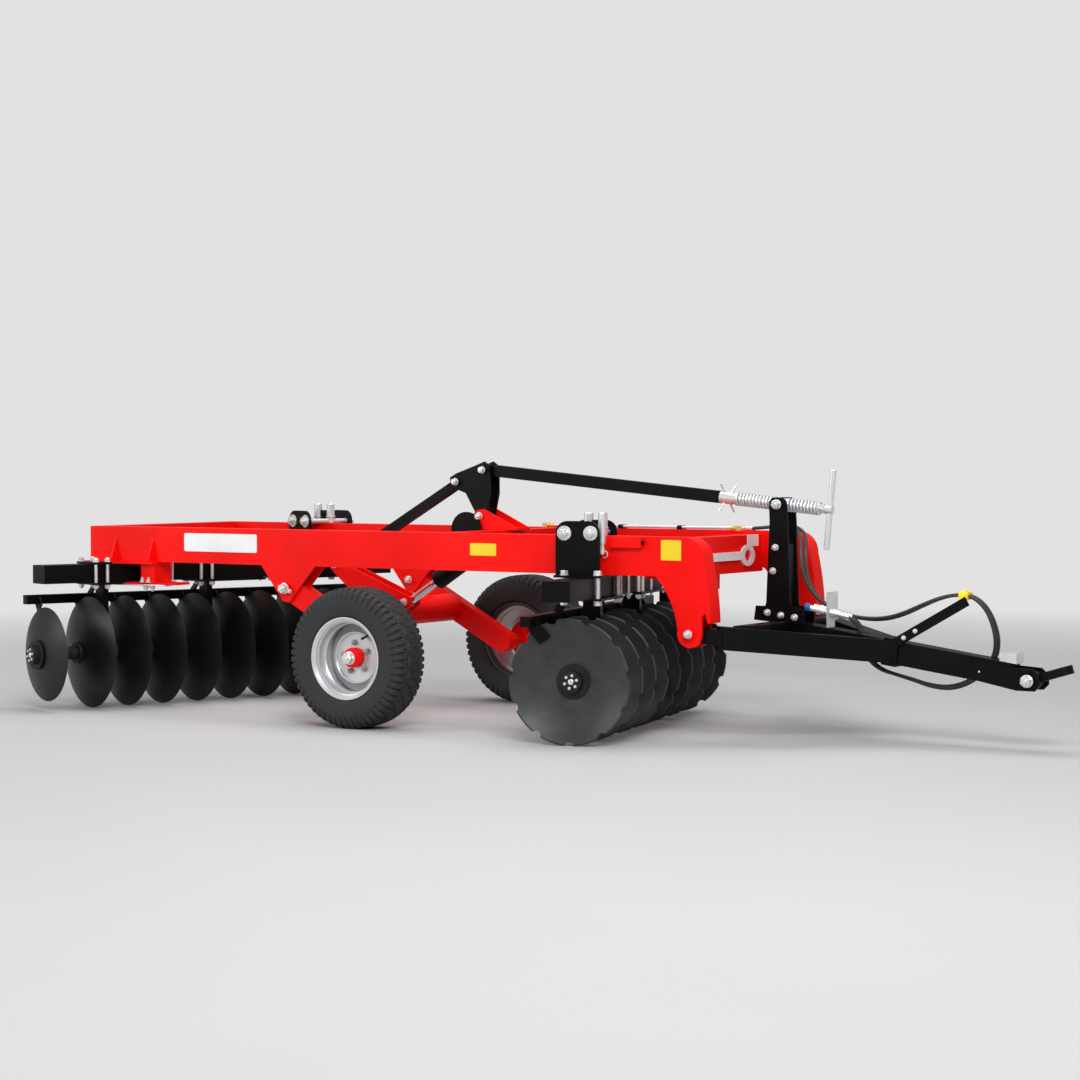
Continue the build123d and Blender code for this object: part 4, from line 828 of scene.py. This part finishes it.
def dress_saddle(gang):
    """Tie bolts with their washers and nuts, and the upright bolts beside the bar, at the
    saddle's straps and at the hangers' clamp plates."""
    middle, ahead, bar_ahead, clamps, _ = gang_fits[gang]
    along, _, place = gang_place(gang)
    parts = []
    for offset in (-saddle_bolt, saddle_bolt):
        for sign in (-1, 1):
            face = place(middle + sign * saddle_half, ahead + offset, tie_height)
            parts.append(lathe([(0.036, 0), (0.036, 0.0045), (0.034, 0.006)], face, sign * along, 32))
            parts.append(nut(face + sign * along * 0.006, sign * along, 0.038, turn=offset * 30,
                             stud=0.15, washer=False))
        parts.append(rod(place(middle - 0.133, ahead + offset, tie_height),
                         place(middle + 0.133, ahead + offset, tie_height), 0.0136))
    for beside in (-bolt_beside, bolt_beside):
        for strap in (-strap_offset, strap_offset):
            parts += stud_bolt(place(middle + strap, bar_ahead + beside, 0), plate_under - 0.018,
                               plate_over + 0.018, 0.0116, 0.034, (plate_under, plate_over))
        for start in clamps:
            for bolt in (start + 0.020, start + 0.090):
                parts += stud_bolt(place(bolt, bar_ahead + beside, 0), plate_under - 0.024,
                                   plate_over + 0.024, 0.0095, 0.027, (plate_under, plate_over))
    piece(f"{gang}_saddle_bolts", joined(parts), zinc, "chassis")


def dress_gang_ends(gang):
    """Six bolts in a ring round a centre bolt on the cap at each end of the shaft."""
    along, ahead, place = gang_place(gang)
    height = joints[f"{gang}_gang_spin"]["pos_m"][2]
    parts = []
    for end, sign in zip(gang_fits[gang][4], (-1, 1)):
        face = place(end, 0, height)
        for turn in np.arange(ring_bolts) * tau / ring_bolts + 0.3:
            where = face + ring_radius * (np.cos(turn) * ahead + np.sin(turn) * UP)
            parts.append(nut(where - 0.003 * sign * along, sign * along, 0.014, turn=turn, stud=0,
                             washer=False))
        parts.append(lathe([(0.014, -0.001), (0.014, 0.002), (0.011, 0.004)], face, sign * along, 20))
    piece(f"{gang}_gang_end_bolts", joined(parts), zinc, f"{gang}_gang")


def bar_clamp(place, ahead, bar_ahead, distance):
    """U bolt over the gang bar: up one side, over it with rounded corners, and down the other."""
    half, top, corner = clamp_beside, bar_bottom + 0.108, 0.014
    foot = plate_under - 0.016
    turn = np.linspace(0, pi / 2, 6)
    across = np.concatenate([[-half], -half + corner * (1 - np.cos(turn)),
                             half - corner * (1 - np.sin(turn)), [half]])
    level = np.concatenate([[foot], top - corner * (1 - np.sin(turn)),
                            top - corner * (1 - np.cos(turn)), [foot]])
    path = np.array([place(distance, bar_ahead + a, z) for a, z in zip(across, level)])
    return carried(path, 0.0065, 10, sideways=(ahead[1], -ahead[0], 0.0))


def dress_bars():
    """U bolts over the two gang bars, with the strip under the bar and the nuts of each."""
    strip_height = plate_under + 0.004
    for gang, spots in clamp_places.items():
        _, ahead, place = gang_place(gang)
        bar_ahead = gang_fits[gang][2]
        parts = [bar_clamp(place, ahead, bar_ahead, distance) for distance in spots]
        for distance in spots:
            for beside in (-clamp_beside, clamp_beside):
                parts.append(nut(place(distance, bar_ahead + beside, strip_height), DOWN, 0.020,
                                 stud=0, washer=False))
            parts.append(plate(rounded(0.190, 0.034, 0.006), place(distance, bar_ahead, strip_height),
                               ahead, UP, 0.007))
        piece(f"{gang}_bar_clamps", joined(parts), zinc, "chassis")


def dress_drop_pins():
    """The saddles' drop pins: two tubes on each rail, and one beside the right rail with its
    spring clip, an open ring."""
    rail_middle, tube_height = 0.568, 0.112
    band = [(0.023, 0), (0.028, 0.001), (0.028, 0.008), (0.023, 0.009)]
    parts = []
    for side, stations in ((-1, (1.235, 1.315)), (1, (-1.287, -1.197))):
        for station in stations:
            base = spot(station, side * rail_middle, rail_top)
            parts += [rod(base, base + UP * tube_height, 0.0235, 24),
                      lathe(band, base + UP * 0.034, UP, 24)]
    long_pin = spot(1.352, -0.6345, 0)
    turn = np.linspace(-2.2, 2.2, 24)
    ring = np.stack([0.013 + 0.016 * np.cos(turn), 0 * turn, 0.906 + 0.016 * np.sin(turn)], -1)
    hole = long_pin + UP * 0.918
    parts += [rod(long_pin + UP * 0.905, long_pin + UP * 1.112, 0.0115, 16),
              rod(long_pin + UP * 0.955, long_pin + UP * 1.108, 0.0170, 24),
              carried(long_pin + ring, 0.0028, 8, sideways=LEFT),
              rod(hole + RIGHT * 0.02, hole + LEFT * 0.014, 0.003, 8)]
    piece("drop_pins", joined(parts), zinc, "chassis")
    brackets = [plate(rounded(0.088, 0.060, 0.012),
                      spot(middle, side * rail_middle + 0.008, rail_top + 0.045), FORWARD, RIGHT, 0.016)
                for side, middle in ((-1, 1.275), (1, -1.242))]
    piece("drop_pin_brackets", joined(brackets), black, "chassis")


def bolted(name, body, places):
    """A row of side_nuts, each turned a little further than the one before it."""
    parts = []
    for count, (station, z, face, across) in enumerate(places):
        for side in (-1, 1):
            parts.append(nut(spot(station, side * face, z), side * LEFT, across, turn=0.4 + count,
                             stud=0.22))
    piece(name, joined(parts), zinc, body)


def dress_joints():
    """Nuts of the frame, linkage, mast and hitch, the mast's feet and the hose post's bolts."""
    for name, (body, places) in side_nuts.items():
        bolted(name, body, places)
    station, z = side_nuts["bracket_nuts"][1][0][:2]
    inner = [nut(spot(station, side * 0.5065, z), side * RIGHT, 0.032, turn=0.2, stud=0.22)
             for side in (-1, 1)]
    piece("bracket_inner_nuts", joined(inner), zinc, "chassis")
    foot = [(-0.115, 0.030), (-0.125, -0.040), (0.150, -0.062), (0.150, 0.012), (0.110, 0.030)]
    feet = [plate(np.array(foot)[::-side] * (1, -side), spot(2.005, side * 0.0522, 0.615), FORWARD,
                  side * LEFT, 0.006) for side in (-1, 1)]
    piece("mast_feet", joined(feet), black, "drawbar")
    post_run = unit(spot(3.010, -0.064, 0.701) - spot(2.646, -0.064, 0.491))
    post_foot = spot(2.646, -0.068, 0.491)
    piece("hose_post_bolts", joined(nut(post_foot + post_run * d, RIGHT, 0.017, turn=d, stud=0.3)
                                    for d in (0.050, 0.118)), zinc, "drawbar")


def dress_plates():
    """Blank plates on the right rail and ear, and a tag on the front beam."""
    white = plate(rounded(0.500, 0.098, 0.010), spot(-1.045, -rail_side, 0.9175), FORWARD, RIGHT,
                  0.0014, 0.0004)
    piece("white_plate", white, white_plate, "chassis")
    yellow = [plate(rounded(*size, 0.004), spot(station, -rail_side, z), FORWARD, RIGHT, 0.0012, 0.0003)
              for size, station, z in (((0.156, 0.062), 0.646, 0.915), ((0.110, 0.098), 1.725, 0.932))]
    piece("yellow_plates", joined(yellow), yellow_plate, "chassis")
    tag = plate(rounded(0.123, 0.060, 0.006), spot(1.627, 0.411, 0.949), LEFT, FORWARD, 0.004)
    piece("beam_tag", tag, pale_zinc, "chassis")


def dress_pipes():
    """Hexagon nuts and sleeves at the pipes' ends, and two saddle clips over both pipes."""
    parts = []
    hexagon = [(0.011, 0), (0.0135, 0.002), (0.0135, 0.018), (0.010, 0.022)]
    sleeve = [(0.0095, 0.020), (0.011, 0.022), (0.011, 0.032), (0.009, 0.034)]
    for y in pipe_rows:
        for station, way in ((0.312, 1), (1.464, -1)):
            end, inwards = spot(station, y, pipe_height), np.array([way, 0, 0.0])
            parts += [lathe(hexagon, end, inwards, 6), lathe(sleeve, end, inwards, 18)]
    piece("pipe_nuts", joined(parts), finishes["yellow_zinc"], "chassis")
    between = sum(pipe_rows) / 2
    clips = [plate(rounded(0.070, 0.024, 0.008), spot(station, between, rail_top + 0.010), LEFT, FORWARD,
                   0.022) for station in (0.760, 1.120)]
    piece("pipe_clips", joined(clips), black, "chassis")


def dress_couplers():
    """Collars on the hose couplings, a dust cap on the first, the holder's bolts and the clip."""
    collar = [(0.0155, 0.010), (0.0185, 0.012), (0.0185, 0.034), (0.0155, 0.036)]
    sleeve = [(0.0155, 0.060), (0.0195, 0.062), (0.0195, 0.070), (0.0175, 0.072), (0.0175, 0.088),
              (0.0195, 0.090), (0.0195, 0.098), (0.0155, 0.100)]
    cap = [(0.013, 0.133), (0.0205, 0.135), (0.0205, 0.158), (0.017, 0.162), (0.009, 0.162),
           (0.007, 0.166)]
    ends = [(spot(*route[-1]), unit(spot(*route[-1]) - spot(*route[-2]))) for route in hose_routes]
    parts = []
    for end, way in ends:
        parts += [lathe(collar, end, way, 6), lathe(sleeve, end, way, 24)]
    piece("coupling_collars", joined(parts), zinc, "drawbar")
    face_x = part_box("coupling_holder")[0][0]
    piece("holder_bolts", joined(nut(np.array([face_x, y, 0.690]), (-1, 0, 0), 0.017, stud=0.3)
                                 for y in (0.000, 0.050)), zinc, "drawbar")
    piece("dust_cap", lathe(cap, *ends[0], 24), blue_cap, "drawbar")
    middle = spot(2.984, -0.020, 0.7255)
    clip = [plate(rounded(0.074, 0.034, 0.015), middle - (0.022, 0, 0), LEFT, FORWARD, 0.044, 0.003),
            plate(rounded(0.030, 0.046, 0.004), middle - (0.012, 0, 0), LEFT, FORWARD, 0.024, 0.002)]
    piece("hose_clip_block", joined(clip), finishes["yellow_plastic"], "drawbar")


def dress_rear_plate():
    """Pale strip and two pairs of bolts at the rear slotted plate, and the tool pocket's cap."""
    strip_thickness = 0.007
    under = plate_under - strip_thickness
    parts = [plate(rounded(0.360, 0.074, 0.012), spot(-1.600, -0.600, under), FORWARD, UP,
                   strip_thickness)]
    for station in (-1.575, -1.530):
        parts += [nut(spot(station, -0.610, under), DOWN, 0.026, stud=0.5),
                  nut(spot(station, -0.640, plate_under + 0.012), UP, 0.024, stud=0.5)]
    piece("rear_plate_strip", joined(parts), zinc, "chassis")
    cap = rod(spot(1.560, -0.631, 0.965), spot(1.580, -0.631, 0.965), 0.0115, 20)
    piece("pocket_cap", cap, black, "chassis")


def weld(start, end, radius=0.0045):
    """A bead whose radius swells and shrinks evenly along its run."""
    start, end = np.asarray(start, float), np.asarray(end, float)
    count = max(8, int(np.linalg.norm(end - start) / 0.0035))
    share = np.linspace(0, 1, count)
    swell = 1 + 0.16 * np.sin(np.arange(count) * 1.6)
    return carried(start + share[:, None] * (end - start), radius * swell, 8,
                   sideways=square_to(end - start)[0])


def dress_welds():
    """Upright beads where the cross beams meet the rails, except on the frame's rear face."""
    parts = []
    frame_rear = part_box("rear_beam")[0][0]
    for beam in ("rear_beam", "mid_beam", "front_beam"):
        low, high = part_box(beam)
        for x in (low[0], high[0]):
            if abs(x - frame_rear) < 0.01:
                continue
            for y in (low[1] + 0.001, high[1] - 0.001):
                parts.append(weld((x, y, low[2] + 0.004), (x, y, high[2] - 0.004)))
    piece("frame_welds", joined(parts), red, "chassis")


for gang in gang_fits:
    dress_saddle(gang)
    dress_gang_ends(gang)
dress_bars()
dress_drop_pins()
dress_joints()
dress_plates()
dress_pipes()
dress_couplers()
dress_rear_plate()
dress_welds()
